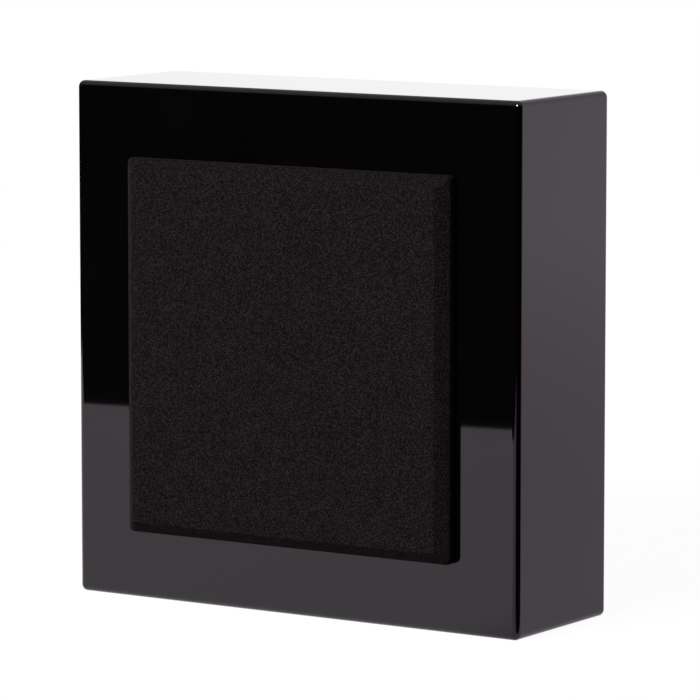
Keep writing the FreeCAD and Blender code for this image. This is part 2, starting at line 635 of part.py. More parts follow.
for number in range(BASKET_WINDOWS):
    turn = 360 * (number + 0.5) / BASKET_WINDOWS
    near, far = f"{shelf_outer} + 2 * basket_window_margin", "woofer_mouth_radius + basket_wall / 2"
    spread = BASKET_WINDOW_HALF_ANGLE
    outline(sketch, around(near, (turn - spread,)) + around(far, (turn - spread, turn + spread))
            + around(near, (turn + spread,)))
pocket(sketch, "basket_depth - woofer_flange_thickness - basket_window_margin")
countersunk_holes(basket, "woofer_screw", WOOFER_SCREWS, "woofer_flange_thickness", True)

countersunk_screws("woofer_screws", "woofer_screw", WOOFER_SCREWS, True, **AT_WOOFER)

trim = new_body("woofer_trim_ring", **AT_WOOFER)
revolve(trim, [
    (f"{WOOFER_LAND} - fit_gap", "0"),
    (f"{WOOFER_LAND} - fit_gap", "-trim_ring_thickness"),
    ("woofer_mouth_radius + fit_gap", "-trim_ring_thickness"),
    ("woofer_mouth_radius + fit_gap", "0"),
])

# Rubber surround: flat rim, half roll and a lip on the cone's edge.
surround = new_body("woofer_surround", **AT_WOOFER)
roll_middle = "(woofer_mouth_radius - surround_roll)"
roll_inner = "(woofer_mouth_radius - 2 * surround_roll)"
thin = "(surround_roll - surround_thickness)"
top, under = "-trim_ring_thickness", f"-{LAND_DEPTH}"
revolve(surround, [
    (f"{WOOFER_LAND} - fit_gap", under),
    (f"{WOOFER_LAND} - fit_gap", top),
    ("woofer_mouth_radius", top),
    (roll_middle, f"{top} + surround_roll", "surround_roll", 1),
    (roll_inner, top, "surround_roll", 1),
    (f"{roll_inner} - surround_lip", top),
    (f"{roll_inner} - surround_lip", under),
    (f"{roll_middle} - {thin}", under),
    (f"{roll_middle} - {thin}", top),
    (roll_middle, f"{top} + {thin}", thin, -1),
    (f"{roll_middle} + {thin}", top, thin, -1),
    (f"{roll_middle} + {thin}", under),
])

# Paper cone: flat edge under the surround's lip, straight flank, neck on the coil former.
cone = new_body("woofer_cone", **AT_WOOFER)
cone_edge = f"({roll_inner} + fit_gap)"
cone_flat = f"({roll_inner} - surround_lip)"
cone_slope = f"((cone_neck_depth - {LAND_DEPTH}) / ({cone_flat} - {FORMER_OUTER}))"
revolve(cone, [
    (cone_edge, under),
    (cone_edge, f"{under} - cone_thickness"),
    (f"{cone_flat} + cone_thickness", f"{under} - cone_thickness"),
    (FORMER_OUTER, "-(cone_neck_depth + 2 * cone_thickness)"),
    (FORMER_OUTER, "-cone_neck_depth"),
    (cone_flat, under),
])


def on_cone(radius):
    """Height of the cone's front flank at a radius."""
    return f"(-cone_neck_depth + ({radius} - {FORMER_OUTER}) * {cone_slope})"


def bulge(half_width, rise):
    """Radius of the arc that spans a half width and rises to its middle."""
    return f"((({half_width}) ^ 2 + ({rise}) ^ 2) / (2 * ({rise})))"


cap = new_body("woofer_dust_cap", **AT_WOOFER)
cap_inner = "(dust_cap_radius - dust_cap_foot)"
cap_crown = f"({on_cone('dust_cap_radius')} + dust_cap_rise)"
cap_hollow = f"({cap_crown} - dust_cap_thickness)"
cap_inner_rise = f"({cap_hollow} - {on_cone(cap_inner)})"
revolve(cap, [
    ("dust_cap_radius", on_cone("dust_cap_radius")),
    ("0", cap_crown, bulge("dust_cap_radius", "dust_cap_rise"), 1),
    ("0", cap_hollow),
    (cap_inner, on_cone(cap_inner), bulge(cap_inner, cap_inner_rise), -1),
])

former = new_body("woofer_coil_former", **AT_WOOFER)
coil_end = f"({GAP_MIDDLE} + coil_length / 2)"
revolve(former, [
    ("former_radius", "-cone_neck_depth"),
    ("former_radius", f"-({coil_end} + former_overhang)"),
    (FORMER_OUTER, f"-({coil_end} + former_overhang)"),
    (FORMER_OUTER, "-cone_neck_depth"),
])

coil = new_body("woofer_voice_coil", **AT_WOOFER)
revolve(coil, [
    (FORMER_OUTER, f"-({GAP_MIDDLE} - coil_length / 2)"),
    (FORMER_OUTER, f"-{coil_end}"),
    (COIL_OUTER, f"-{coil_end}"),
    (COIL_OUTER, f"-({GAP_MIDDLE} - coil_length / 2)"),
])

# Spider: folded cloth from the coil former to the basket's shelf.
spider = new_body("woofer_spider", **AT_WOOFER)
rim_inner = "(spider_radius - spider_rim)"
folds = []
for step in range(SPIDER_STEPS + 1):
    lift = "spider_wave" if step % 2 else "0"
    folds.append((f"{FORMER_OUTER} + ({rim_inner} - {FORMER_OUTER}) * {step / SPIDER_STEPS}",
                  f"-spider_depth + {lift}"))
folds.append(("spider_radius", "-spider_depth"))
upper = [(x, f"{y} + spider_thickness") for x, y in reversed(folds)]
revolve(spider, folds + upper)

# Woofer motor: front plate, ring magnet and yoke with its pole.
top_plate = new_body("woofer_top_plate", **AT_WOOFER)
magnet_front = "(basket_depth + top_plate_thickness)"
magnet_back = f"({magnet_front} + magnet_thickness)"
revolve(top_plate, [
    (PLATE_BORE, "-basket_depth"),
    (PLATE_BORE, f"-{magnet_front}"),
    ("top_plate_radius", f"-{magnet_front}"),
    ("top_plate_radius", "-basket_depth"),
])
magnet = new_body("woofer_magnet", **AT_WOOFER)
revolve(magnet, [
    ("magnet_bore", f"-{magnet_front}"),
    ("magnet_bore", f"-{magnet_back}"),
    ("magnet_radius", f"-{magnet_back}"),
    ("magnet_radius", f"-{magnet_front}"),
])
yoke = new_body("woofer_yoke", **AT_WOOFER)
pole_radius = "(former_radius - coil_gap)"
revolve(yoke, [
    ("0", "-basket_depth"),
    ("0", f"-({magnet_back} + yoke_thickness)"),
    ("yoke_radius", f"-({magnet_back} + yoke_thickness)"),
    ("yoke_radius", f"-{magnet_back}"),
    (pole_radius, f"-{magnet_back}"),
    (pole_radius, "-basket_depth"),
])


def tag_strip(name, rise, front, **at):
    """A fibre strip behind a driver with two solder tags on its back."""
    strip = new_body(f"{name}_tag_strip", **at)
    sketch = new_sketch(strip, height=front)
    rectangle(sketch, f"{name}_strip_width", f"{name}_strip_height", "0", rise)
    pad(sketch, "strip_thickness", True)
    tags = new_body(f"{name}_tags", **at)
    sketch = new_sketch(tags, height=f"{front} - strip_thickness")
    for side_name, side in SIDES:
        rectangle(sketch, "driver_tag_width", "driver_tag_length", f"{side} * {name}_tag_spacing / 2", rise)
    pad(sketch, "tag_thickness", True)


woofer_strip_rise = f"({neck_outer} + woofer_strip_gap + woofer_strip_height / 2)"
tag_strip("woofer", woofer_strip_rise, shelf_under, **AT_WOOFER)

# Tweeter: faceplate with a short flare, one-piece silk dome and a pot with a slug magnet.
faceplate = new_body("tweeter_faceplate", **AT_TWEETER)
revolve(faceplate, [
    ("tweeter_flange_radius", "0"),
    ("tweeter_flange_radius", "-tweeter_flange_thickness"),
    ("tweeter_mouth_radius", "-tweeter_flange_thickness"),
    ("tweeter_mouth_radius", "-(tweeter_flange_thickness - tweeter_throat)"),
    (TWEETER_RIM, "0"),
])
countersunk_holes(faceplate, "tweeter_screw", TWEETER_SCREWS, "tweeter_flange_thickness", True)

countersunk_screws("tweeter_screws", "tweeter_screw", TWEETER_SCREWS, True, **AT_TWEETER)

dome = new_body("tweeter_dome", **AT_TWEETER)
dome_top = f"-{DOME_LEVEL}"
dome_under = f"-({DOME_LEVEL} + dome_thickness)"
silk_roll = "(dome_radius + dome_seat + dome_roll)"
silk_thin = "(dome_roll - dome_thickness)"
silk_rim = f"({silk_roll} + dome_roll)"
revolve(dome, [
    (f"{silk_rim} + dome_rim", dome_under),
    (f"{silk_rim} + dome_rim", dome_top),
    (silk_rim, dome_top),
    (silk_roll, f"{dome_top} + dome_roll", "dome_roll", 1),
    (f"{silk_roll} - dome_roll", dome_top, "dome_roll", 1),
    ("dome_radius", dome_top),
    ("0", f"{dome_top} + dome_rise", bulge("dome_radius", "dome_rise"), 1),
    ("0", f"{dome_top} + dome_rise - dome_thickness"),
    ("dome_radius - dome_thickness", dome_under,
     bulge("dome_radius - dome_thickness", "dome_rise"), -1),
    (f"{silk_roll} - {silk_thin}", dome_under),
    (f"{silk_roll} - {silk_thin}", dome_top),
    (silk_roll, f"{dome_top} + {silk_thin}", silk_thin, -1),
    (f"{silk_roll} + {silk_thin}", dome_top, silk_thin, -1),
    (f"{silk_roll} + {silk_thin}", dome_under),
])

tweeter_coil = new_body("tweeter_voice_coil", **AT_TWEETER)
revolve(tweeter_coil, [
    ("dome_radius - tweeter_coil_thickness / 2", dome_under),
    ("dome_radius - tweeter_coil_thickness / 2", f"{dome_under} - tweeter_coil_length"),
    ("dome_radius + tweeter_coil_thickness / 2", f"{dome_under} - tweeter_coil_length"),
    ("dome_radius + tweeter_coil_thickness / 2", dome_under),
])

pole_plate = new_body("tweeter_pole_plate", **AT_TWEETER)
pad(circles(pole_plate, TWEETER_POLE, [("0", "0")], f"-{POLE_FRONT}"), "pole_plate_thickness", True)

slug = new_body("tweeter_magnet", **AT_TWEETER)
pad(circles(slug, f"{TWEETER_POLE} - slug_inset", [("0", "0")], f"-{SLUG_FRONT}"), "slug_thickness", True)

pot = new_body("tweeter_pot", **AT_TWEETER)
revolve(pot, [
    ("0", f"-{POT_INSIDE}"),
    ("0", f"-({POT_INSIDE} + pot_floor)"),
    (POT_RADIUS, f"-({POT_INSIDE} + pot_floor)"),
    (POT_RADIUS, dome_under),
    (silk_rim, dome_under),
    (silk_rim, f"{dome_under} - pot_rebate"),
    (POT_BORE, f"{dome_under} - pot_rebate"),
    (POT_BORE, f"-{POT_INSIDE}"),
])

pot_back = f"(-({POT_INSIDE} + pot_floor))"
tag_strip("tweeter", "0", pot_back, **AT_TWEETER)


def bevelled_block(body, width, height, corner, bevel, back, depth):
    """A block with rounded corners and a sloped front rim."""
    shoulder = f"{back} + {depth} - ({bevel})"
    sketch = new_sketch(body, height=back)
    rounded_rectangle(sketch, width, height, corner)
    pad(sketch, f"{depth} - ({bevel})")
    wide = new_sketch(body, height=shoulder)
    rounded_rectangle(wide, width, height, corner)
    narrow = new_sketch(body, height=f"{back} + {depth}")
    rounded_rectangle(narrow, f"{width} - 2 * ({bevel})", f"{height} - 2 * ({bevel})", f"({corner}) / 2")
    rim = body.newObject("PartDesign::AdditiveLoft", f"{body.Label}_rim")
    rim.Profile = wide
    rim.Sections = [narrow]
    rim.Ruled = True
    wide.Visibility = False
    narrow.Visibility = False
    doc.recompute()


# Grille board: bevelled all round, open in front of both drivers.
CORE_WIDTH = "grille_width - 2 * cloth_thickness"
CORE_HEIGHT = "grille_height - 2 * cloth_thickness"
CORE_SHAPE = (CORE_WIDTH, CORE_HEIGHT, "grille_corner - cloth_thickness", BOARD_BEVEL, BOARD_BACK,
              f"{BOARD_FRONT} - {BOARD_BACK}")
board = new_body("grille_board", **AT_GRILLE)
bevelled_block(board, *CORE_SHAPE)
openings = new_sketch(board, height=BOARD_FRONT)
circle(openings, "woofer_mouth_radius + grille_hole_margin", "woofer_x", "woofer_y - grille_offset")
circle(openings, f"{TWEETER_RIM} + grille_hole_margin", "tweeter_x", "tweeter_y - grille_offset")
pocket(openings, f"{BOARD_FRONT} - {BOARD_BACK}", True)
pocket(circles(board, "peg_radius + thread_gap", PEGS, BOARD_BACK), "peg_spigot")

# Cloth: a skin over the board's front and sides, turned over behind its edge.
block = new_body("grille_cloth_block", kept=False, **AT_GRILLE)
bevelled_block(block, "grille_width", "grille_height", "grille_corner", "grille_bevel", "grille_clearance",
               "grille_depth")
filling = new_body("grille_cloth_filling", kept=False, **AT_GRILLE)
bevelled_block(filling, *CORE_SHAPE)
sketch = new_sketch(filling, height=BOARD_BACK)
rectangle(sketch, f"{CORE_WIDTH} - 2 * cloth_fold", f"{CORE_HEIGHT} - 2 * cloth_fold")
pad(sketch, "2 * cloth_thickness", True)
cloth = doc.addObject("Part::Cut", "grille_cloth")
cloth.Label = "grille_cloth"
cloth.Base = block
cloth.Tool = filling
pieces.append(cloth)
doc.recompute()

pegs = new_body("grille_pegs", **AT_GRILLE)
pad(circles(pegs, "peg_shoulder", PEGS, "grille_clearance"), "cloth_thickness")
pad(circles(pegs, "peg_radius", PEGS, BOARD_BACK), "peg_spigot - fit_gap")
pad(circles(pegs, "peg_radius", PEGS, "grille_clearance"), "grille_clearance + peg_length", True)
soften(pegs, "Chamfer", "peg_radius / 3", lies_at("-peg_length"))

cups = new_body("peg_cups", **AT_GRILLE)
pad(circles(cups, "cup_rim_radius", PEGS), "grille_clearance")
pad(circles(cups, "cup_body_radius", PEGS), "cup_body_depth", True)
pocket(circles(cups, "peg_radius + peg_fit", PEGS, "grille_clearance"),
       "grille_clearance + peg_length + peg_end_gap", True)

# Hanger plates, let into the rear board and level with the wall plane.
keyhole_screws = []
for name, side in SIDES:
    x, y = hanger_place(side)
    plate = new_body(f"keyhole_plate_{name}", right=x)
    sketch = new_sketch(plate)
    rounded_rectangle(sketch, "keyhole_plate_width", "keyhole_plate_height", "keyhole_plate_corner", "0",
                      "keyhole_plate_lift")
    pad(sketch, "keyhole_plate_thickness")
    pocket(circles(plate, "keyhole_entry_radius", [("0", "0")]), "keyhole_plate_thickness")
    sketch = new_sketch(plate)
    half = "keyhole_slot_width / 2"
    outline(sketch, [
        (f"-{half}", "0"),
        (half, "0"),
        (half, f"keyhole_slot_rise - {half}"),
        ("0", "keyhole_slot_rise", half, 1),
        (f"-{half}", f"keyhole_slot_rise - {half}", half, 1),
    ])
    pocket(sketch, "keyhole_plate_thickness")
    ends = [("0", f"keyhole_plate_lift + {end} * {KEYHOLE_SCREW_RISE}") for end in (-1, 1)]
    countersunk_holes(plate, "keyhole_screw", ends, "keyhole_plate_thickness", False)
    keyhole_screws += [(x, place) for zero, place in ends]
countersunk_screws("keyhole_screws", "keyhole_screw", keyhole_screws, False)

# Terminal cup with its flange level with the rear board.
cup = new_body("terminal_cup", **AT_TERMINAL)
sketch = new_sketch(cup)
rounded_rectangle(sketch, "terminal_width + 2 * terminal_flange", "terminal_height + 2 * terminal_flange",
                  "terminal_corner")
pad(sketch, "terminal_flange_thickness")
sketch = new_sketch(cup)
rounded_rectangle(sketch, "terminal_width", "terminal_height", "terminal_corner")
pad(sketch, "terminal_depth")
sketch = new_sketch(cup)
rounded_rectangle(sketch, "terminal_width - 2 * terminal_wall", "terminal_height - 2 * terminal_wall",
                  "terminal_corner - terminal_wall")
pocket(sketch, CUP_FLOOR)
pocket(circles(cup, "post_shank_radius + thread_gap", POST_PLACES, CUP_FLOOR), "terminal_wall")
countersunk_holes(cup, "terminal_screw", TERMINAL_SCREWS, "terminal_flange_thickness", False)
countersunk_screws("terminal_screws", "terminal_screw", TERMINAL_SCREWS, False, **AT_TERMINAL)

tip = f"({CUP_FLOOR} - post_length)"
seat_back = f"({CUP_FLOOR} - post_seat_thickness)"
cap_end = f"({seat_back} - clamp_ring_thickness)"
for colour, side in (("red", -1), ("black", 1)):
    at_post = {"right": f"terminal_x + {side} * post_spacing / 2", "up": f"{MID_UP} + terminal_y + post_lift"}
    post = new_body(f"terminal_post_{colour}", **at_post)
    revolve(post, [
        ("post_bore_radius", tip),
        ("post_radius", tip),
        ("post_radius", seat_back),
        ("post_seat_radius", seat_back),
        ("post_seat_radius", CUP_FLOOR),
        ("post_shank_radius", CUP_FLOOR),
        ("post_shank_radius", "terminal_depth + post_shank_length"),
        ("0", "terminal_depth + post_shank_length"),
        ("0", f"{tip} + post_bore_depth"),
        ("post_bore_radius", f"{tip} + post_bore_depth"),
    ])
    sketch = new_sketch(post, "YZ_Plane", "-(post_radius + fit_gap)")
    circle(sketch, "post_wire_hole", "0", f"{cap_end} - post_wire_hole")
    pocket(sketch, "2 * (post_radius + fit_gap)")

    ring = new_body(f"terminal_ring_{colour}", **at_post)
    sketch = circles(ring, "clamp_ring_radius", [("0", "0")], cap_end)
    circle(sketch, "post_radius + cap_gap")
    pad(sketch, "clamp_ring_thickness")

    knob = new_body(f"terminal_cap_{colour}", **at_post)
    sketch = circles(knob, "cap_radius", [("0", "0")], cap_end)
    circle(sketch, "post_radius + cap_gap")
    pad(sketch, "cap_length", True)
    flutes = around("cap_radius + flute_radius - flute_depth",
                    [360 * number / CAP_FLUTES for number in range(CAP_FLUTES)])
    pocket(circles(knob, "flute_radius", flutes, f"{cap_end} - cap_collar"), "cap_length - cap_collar", True)

tags = new_body("terminal_tags", **AT_TERMINAL)
sketch = new_sketch(tags, height="terminal_depth")
for x, y in POST_PLACES:
    rounded_rectangle(sketch, "tag_width", "tag_length + tag_width / 2", "tag_corner", x,
                      f"{y} + (tag_length - tag_width / 2) / 2")
    circle(sketch, "post_shank_radius + thread_gap", x, y)
pad(sketch, "tag_thickness")

nuts = new_body("terminal_nuts", **AT_TERMINAL)
sketch = new_sketch(nuts, height="terminal_depth + tag_thickness")
for x, y in POST_PLACES:
    hexagon = around("nut_radius", [60 * number for number in range(6)])
    outline(sketch, [(f"{x} + {hx}", f"{y} + {hy}") for hx, hy in hexagon])
    circle(sketch, "post_shank_radius + thread_gap", x, y)
pad(sketch, "nut_thickness")

# Crossover board on spacers behind the rear board, with its parts.
AT_BOARD = {"right": "board_x", "up": f"{MID_UP} + board_y"}
crossover = new_body("crossover_board", **AT_BOARD)
sketch = new_sketch(crossover, height=BOARD_LEVEL)
rectangle(sketch, "board_width", "board_height")
pad(sketch, "board_thickness")
pocket(circles(crossover, "board_screw_radius + thread_gap", BOARD_SCREWS, BOARD_LEVEL), "board_thickness")

spacers = new_body("crossover_spacers", **AT_BOARD)
sketch = circles(spacers, "standoff_radius", BOARD_SCREWS, "rear_panel_thickness")
for x, y in BOARD_SCREWS:
    circle(sketch, "board_screw_radius + thread_gap", x, y)
pad(sketch, "standoff_height")

board_screws = new_body("crossover_screws", **AT_BOARD)
pad(circles(board_screws, "board_screw_head", BOARD_SCREWS, BOARD_TOP), head_height("board_screw"))
pad(circles(board_screws, "board_screw_radius", BOARD_SCREWS, BOARD_TOP), "board_screw_length", True)

AT_COIL = {"right": "board_x + bobbin_x", "up": f"{MID_UP} + board_y + bobbin_y", "forward": BOARD_TOP}
bobbin = new_body("crossover_bobbin", **AT_COIL)
revolve(bobbin, [
    ("bobbin_bore", "0"),
    ("bobbin_radius", "0"),
    ("bobbin_radius", "bobbin_cheek"),
    ("bobbin_core", "bobbin_cheek"),
    ("bobbin_core", "bobbin_height - bobbin_cheek"),
    ("bobbin_radius", "bobbin_height - bobbin_cheek"),
    ("bobbin_radius", "bobbin_height"),
    ("bobbin_bore", "bobbin_height"),
])
winding = new_body("crossover_winding", **AT_COIL)
revolve(winding, [
    ("bobbin_core", "bobbin_cheek"),
    ("bobbin_radius - winding_inset", "bobbin_cheek"),
    ("bobbin_radius - winding_inset", "bobbin_height - bobbin_cheek"),
    ("bobbin_core", "bobbin_height - bobbin_cheek"),
])

capacitor_x = "board_x + board_width / 2 - capacitor_radius - part_margin"
capacitor = new_body("crossover_capacitor", right=capacitor_x, forward=BOARD_TOP,
                     up=f"{MID_UP} + board_y - capacitor_length / 2")
sketch = new_sketch(capacitor, "XZ_Plane")
circle(sketch, "capacitor_radius", "0", "capacitor_radius")
pad(sketch, "capacitor_length", True)

resistor = new_body("crossover_resistor", right="board_x", forward=BOARD_TOP,
                    up=f"{MID_UP} + board_y + board_height / 2 - resistor_width / 2 - part_margin")
sketch = new_sketch(resistor)
rectangle(sketch, "resistor_length", "resistor_width")
pad(sketch, "resistor_width")


def rounded_route(points):
    """A path of straight runs through points (right, up, forward), joined by tangent arcs."""
    bend = value("lead_bend")
    edges = []
    start = points[0]
    for before, corner, after in zip(points, points[1:], points[2:]):
        inward = (before - corner).normalize()
        outward = (after - corner).normalize()
        half_turn = (math.pi - inward.getAngle(outward)) / 2
        setback = bend * math.tan(half_turn)
        enter = corner + inward * setback
        leave = corner + outward * setback
        depth = bend / math.cos(half_turn) - bend
        middle = corner + (inward + outward).normalize() * depth
        edges.append(Part.LineSegment(start, enter).toShape())
        edges.append(Part.Arc(enter, middle, leave).toShape())
        start = leave
    edges.append(Part.LineSegment(start, points[-1]).toShape())
    return Part.Wire(edges)


def lead_pair(label, routes):
    """Two insulated leads, each a tube along a route of (right, up, forward) expressions."""
    tubes = []
    for route in routes:
        points = [V(*(value(text) for text in point)) for point in route]
        path = rounded_route(points)
        run = points[1] - points[0]
        section = Part.Wire(Part.Circle(points[0], run, value("lead_radius")).toShape())
        tube = path.makePipeShell([section], True, False)
        expected = math.pi * value("lead_radius") ** 2 * path.Length
        if abs(tube.Volume - expected) > LEAD_TOLERANCE * expected:
            raise RuntimeError(f"{label} has a tube of the wrong volume")
        tubes.append(tube)
    lead = doc.addObject("Part::Feature", label)
    lead.Label = label
    lead.Shape = Part.makeCompound(tubes)
    lead.Placement = FreeCAD.Placement(V(0, 0, value(MID_UP)), FACING_FRONT)
    pieces.append(lead)


def lead_route(start, end, ways=()):
    """A route that leaves and reaches its joints straight; a joint is (right, up, forward, side)."""
    points = []
    for x, y, z, side in (start, end):
        points.append([(x, y, z), (x, y, f"{z} + {side} * lead_rise")])
    return points[0] + list(ways) + points[1][::-1]


def solder_pads(name):
    """A pair of joints on the board's front, the lower one first."""
    x = f"board_x + {name}_pad_x"
    return [(x, f"board_y + {name}_pad_y + {side} * pad_spacing / 2", BOARD_TOP, 1) for word, side in SIDES]


def tag_joints(name, rise, front):
    """A pair of joints on the back of a driver's tags, the left one first."""
    up = f"{name}_y + {rise}"
    level = f"cabinet_depth + {front} - strip_thickness - tag_thickness"
    return [(f"{name}_x + {side} * {name}_tag_spacing / 2", up, level, -1) for word, side in SIDES]


# Inner leads between the tags and the board. The terminals' pair goes round the woofer's magnet.
post_joints = [(f"terminal_x + {x}", "terminal_y + post_lift + tag_length - tag_width / 2",
                "terminal_depth + tag_thickness", 1) for x, y in POST_PLACES]
around_magnet = [[("30", "26", "34")], [("37", "31", "34")]]
lead_pair("terminal_leads", list(map(lead_route, post_joints, solder_pads("terminal"), around_magnet)))
woofer_joints = tag_joints("woofer", woofer_strip_rise, shelf_under)
lead_pair("woofer_leads", list(map(lead_route, solder_pads("woofer"), woofer_joints)))
tweeter_joints = tag_joints("tweeter", "0", pot_back)
lead_pair("tweeter_leads", list(map(lead_route, solder_pads("tweeter"), tweeter_joints)))

doc.recompute()
for item in doc.Objects:
    if "Invalid" in item.State or "Error" in item.State:
        raise RuntimeError(f"{item.Label} did not build: {item.State}")
for piece in pieces:
    if piece.Shape.isNull() or not piece.Shape.isValid() or not piece.Shape.Solids:
        raise RuntimeError(f"{piece.Label} has no sound solid")

os.makedirs("parts", exist_ok=True)
for piece in pieces:
    piece.Shape.exportStep(f"parts/{piece.Label}.step")
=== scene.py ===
import json
import math

import bmesh
import bpy
from mathutils import Matrix, Vector, noise
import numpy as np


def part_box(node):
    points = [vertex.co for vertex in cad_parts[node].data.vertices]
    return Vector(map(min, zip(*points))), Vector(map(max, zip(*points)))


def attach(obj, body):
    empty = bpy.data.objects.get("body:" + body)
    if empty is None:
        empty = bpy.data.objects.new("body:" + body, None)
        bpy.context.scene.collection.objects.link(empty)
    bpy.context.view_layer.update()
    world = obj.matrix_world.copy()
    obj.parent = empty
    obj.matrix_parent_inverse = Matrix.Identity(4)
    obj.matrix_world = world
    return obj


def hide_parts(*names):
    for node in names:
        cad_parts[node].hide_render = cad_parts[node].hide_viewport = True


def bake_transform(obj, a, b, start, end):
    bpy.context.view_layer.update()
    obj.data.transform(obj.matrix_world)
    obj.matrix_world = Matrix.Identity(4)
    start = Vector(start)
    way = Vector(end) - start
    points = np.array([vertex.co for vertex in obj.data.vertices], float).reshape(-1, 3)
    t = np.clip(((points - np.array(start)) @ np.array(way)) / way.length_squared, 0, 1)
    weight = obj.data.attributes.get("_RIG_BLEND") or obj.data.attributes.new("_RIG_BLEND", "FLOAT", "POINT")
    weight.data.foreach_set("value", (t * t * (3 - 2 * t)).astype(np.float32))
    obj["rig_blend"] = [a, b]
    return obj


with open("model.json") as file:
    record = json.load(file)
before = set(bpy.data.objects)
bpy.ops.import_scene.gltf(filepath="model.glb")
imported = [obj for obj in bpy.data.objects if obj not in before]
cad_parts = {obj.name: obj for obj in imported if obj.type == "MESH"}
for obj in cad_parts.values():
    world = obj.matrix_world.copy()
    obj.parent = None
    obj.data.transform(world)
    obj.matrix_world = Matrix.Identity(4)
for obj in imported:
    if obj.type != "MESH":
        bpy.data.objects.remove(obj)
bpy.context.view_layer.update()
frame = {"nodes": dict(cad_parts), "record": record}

MM = 0.001
MICRON = 0.000001
AXIS_X = Vector((1, 0, 0))
WHITE = (1, 1, 1)

# The photograph's view: 700 pixels square, from the right and a little above.
PHOTO_PIXELS = 700
FOCAL_PIXELS = 4925.4
VIEW_YAW = math.radians(33.126)
VIEW_PITCH = math.radians(7.225)
VIEW_DISTANCE = 2.04715
VIEW_SIDE_STEP = 0.024236
VIEW_RISE = 0.001955

# The table ends in front of the speaker and is cut back to its near corner. The lacquer mirrors its edges.
TABLE_FRONT_REACH = 0.6248
TABLE_FRONT_SLOPE = -0.165
TABLE_SIDE_GAP = 0.015
TABLE_SIDE_TURN = math.radians(58.8)
TABLE_NOTCH_TURN = math.radians(-51.1)
TABLE_LEFT = 0.9
TABLE_FAR = 6.0

# A magenta tint far behind the speaker on the right: the colour of the world's light there, and a painted
# reflection tint on the floor's glow in mirrors.
FAR_TINT = (1.0, 0.925, 1.0)

shell_low, shell_high = (Vector(point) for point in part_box("cabinet_shell"))
FLOOR = shell_low.z
FRONT = shell_low.y
MIDDLE = Vector(((shell_low.x + shell_high.x) / 2, FRONT, (shell_low.z + shell_high.z) / 2))


def link_new(name, data):
    """A new object with its data, in the scene."""
    made = bpy.data.objects.new(name, data)
    bpy.context.collection.objects.link(made)
    return made


def place_camera():
    """The camera where the photograph was taken from."""
    ahead = Vector((-math.sin(VIEW_YAW) * math.cos(VIEW_PITCH),
                    math.cos(VIEW_YAW) * math.cos(VIEW_PITCH),
                    -math.sin(VIEW_PITCH)))
    right = Vector((math.cos(VIEW_YAW), math.sin(VIEW_YAW), 0))
    up = right.cross(ahead)
    lens = bpy.data.cameras.new("camera")
    lens.sensor_fit = "HORIZONTAL"
    lens.lens = FOCAL_PIXELS / PHOTO_PIXELS * lens.sensor_width
    camera = link_new("camera", lens)
    turn = Matrix((right, up, -ahead)).transposed()
    place = MIDDLE - VIEW_DISTANCE * ahead + VIEW_SIDE_STEP * right + VIEW_RISE * up
    camera.matrix_world = Matrix.Translation(place) @ turn.to_4x4()
    bpy.context.scene.camera = camera


def socket_names(keywords):
    """Keywords turned to the names of sockets, whose words have spaces between them."""
    return {key.replace("_", " "): value for key, value in keywords.items()}


def empty_tree(owner):
    """The cleared node tree of a material or a world."""
    owner.use_nodes = True
    owner.node_tree.nodes.clear()
    return owner.node_tree


def node(tree, kind, sockets=(), **settings):
    """A shader node with its settings made and its sockets filled or linked."""
    made = tree.nodes.new(kind)
    for key, setting in settings.items():
        setattr(made, key, setting)
    for key, given in dict(sockets).items():
        target = made.inputs[key]
        if isinstance(given, bpy.types.NodeSocket):
            tree.links.new(given, target)
        else:
            target.default_value = given
    return made


def calculate(tree, operation, first, second):
    """One value worked out from two."""
    return node(tree, "ShaderNodeMath", {0: first, 1: second}, operation=operation).outputs["Value"]


def choose(tree, share, first, second):
    """The first value where the share is 0 and the second where it is 1."""
    return node(tree, "ShaderNodeMix", {"Factor": share, "A": first, "B": second}).outputs["Result"]


def spread(tree, share, low, high):
    """The share from 0 to 1 stretched to run from low to high."""
    made = node(tree, "ShaderNodeMapRange", {"Value": share, "To Min": low, "To Max": high})
    return made.outputs["Result"]


def ramp(tree, value, span, low, high):
    """A smooth rise from low to high as the value goes through the span."""
    start, end = span
    made = node(tree, "ShaderNodeMapRange", {"Value": value, "From Min": start, "From Max": end,
                                             "To Min": low, "To Max": high}, interpolation_type="SMOOTHSTEP")
    return made.outputs["Result"]


def blend_colours(tree, share, dark, light):
    """The dark colour up to a low share, the light one from a high share, and a blend between."""
    low_share, high_share = 0.3, 0.7
    made = node(tree, "ShaderNodeValToRGB", {"Fac": share})
    stops = ((low_share, dark), (high_share, light))
    for stop, (position, colour) in zip(made.color_ramp.elements, stops):
        stop.position = position
        stop.color = (*colour, 1)
    return made.outputs["Color"]


def place_of(tree, stretch=(1, 1, 1)):
    """Places on the object, in metres, stretched for grain that runs one way."""
    where = node(tree, "ShaderNodeTexCoord").outputs["Object"]
    return node(tree, "ShaderNodeMapping", {"Vector": where, "Scale": stretch}).outputs["Vector"]


def noise_value(tree, where, grain, detail=3.0):
    """A noise from 0 to 1 whose spots are about grain metres across."""
    made = node(tree, "ShaderNodeTexNoise", {"Vector": where, "Scale": 1 / grain, "Detail": detail})
    return made.outputs["Fac"]


def lines_value(tree, where, pitch, direction, **warp):
    """Parallel lines from 0 to 1, pitch metres apart and warped a little."""
    period_at_scale_one = math.pi / 10
    sockets = {"Vector": where, "Scale": period_at_scale_one / pitch, **socket_names(warp)}
    made = node(tree, "ShaderNodeTexWave", sockets, wave_type="BANDS", bands_direction=direction)
    return made.outputs["Fac"]


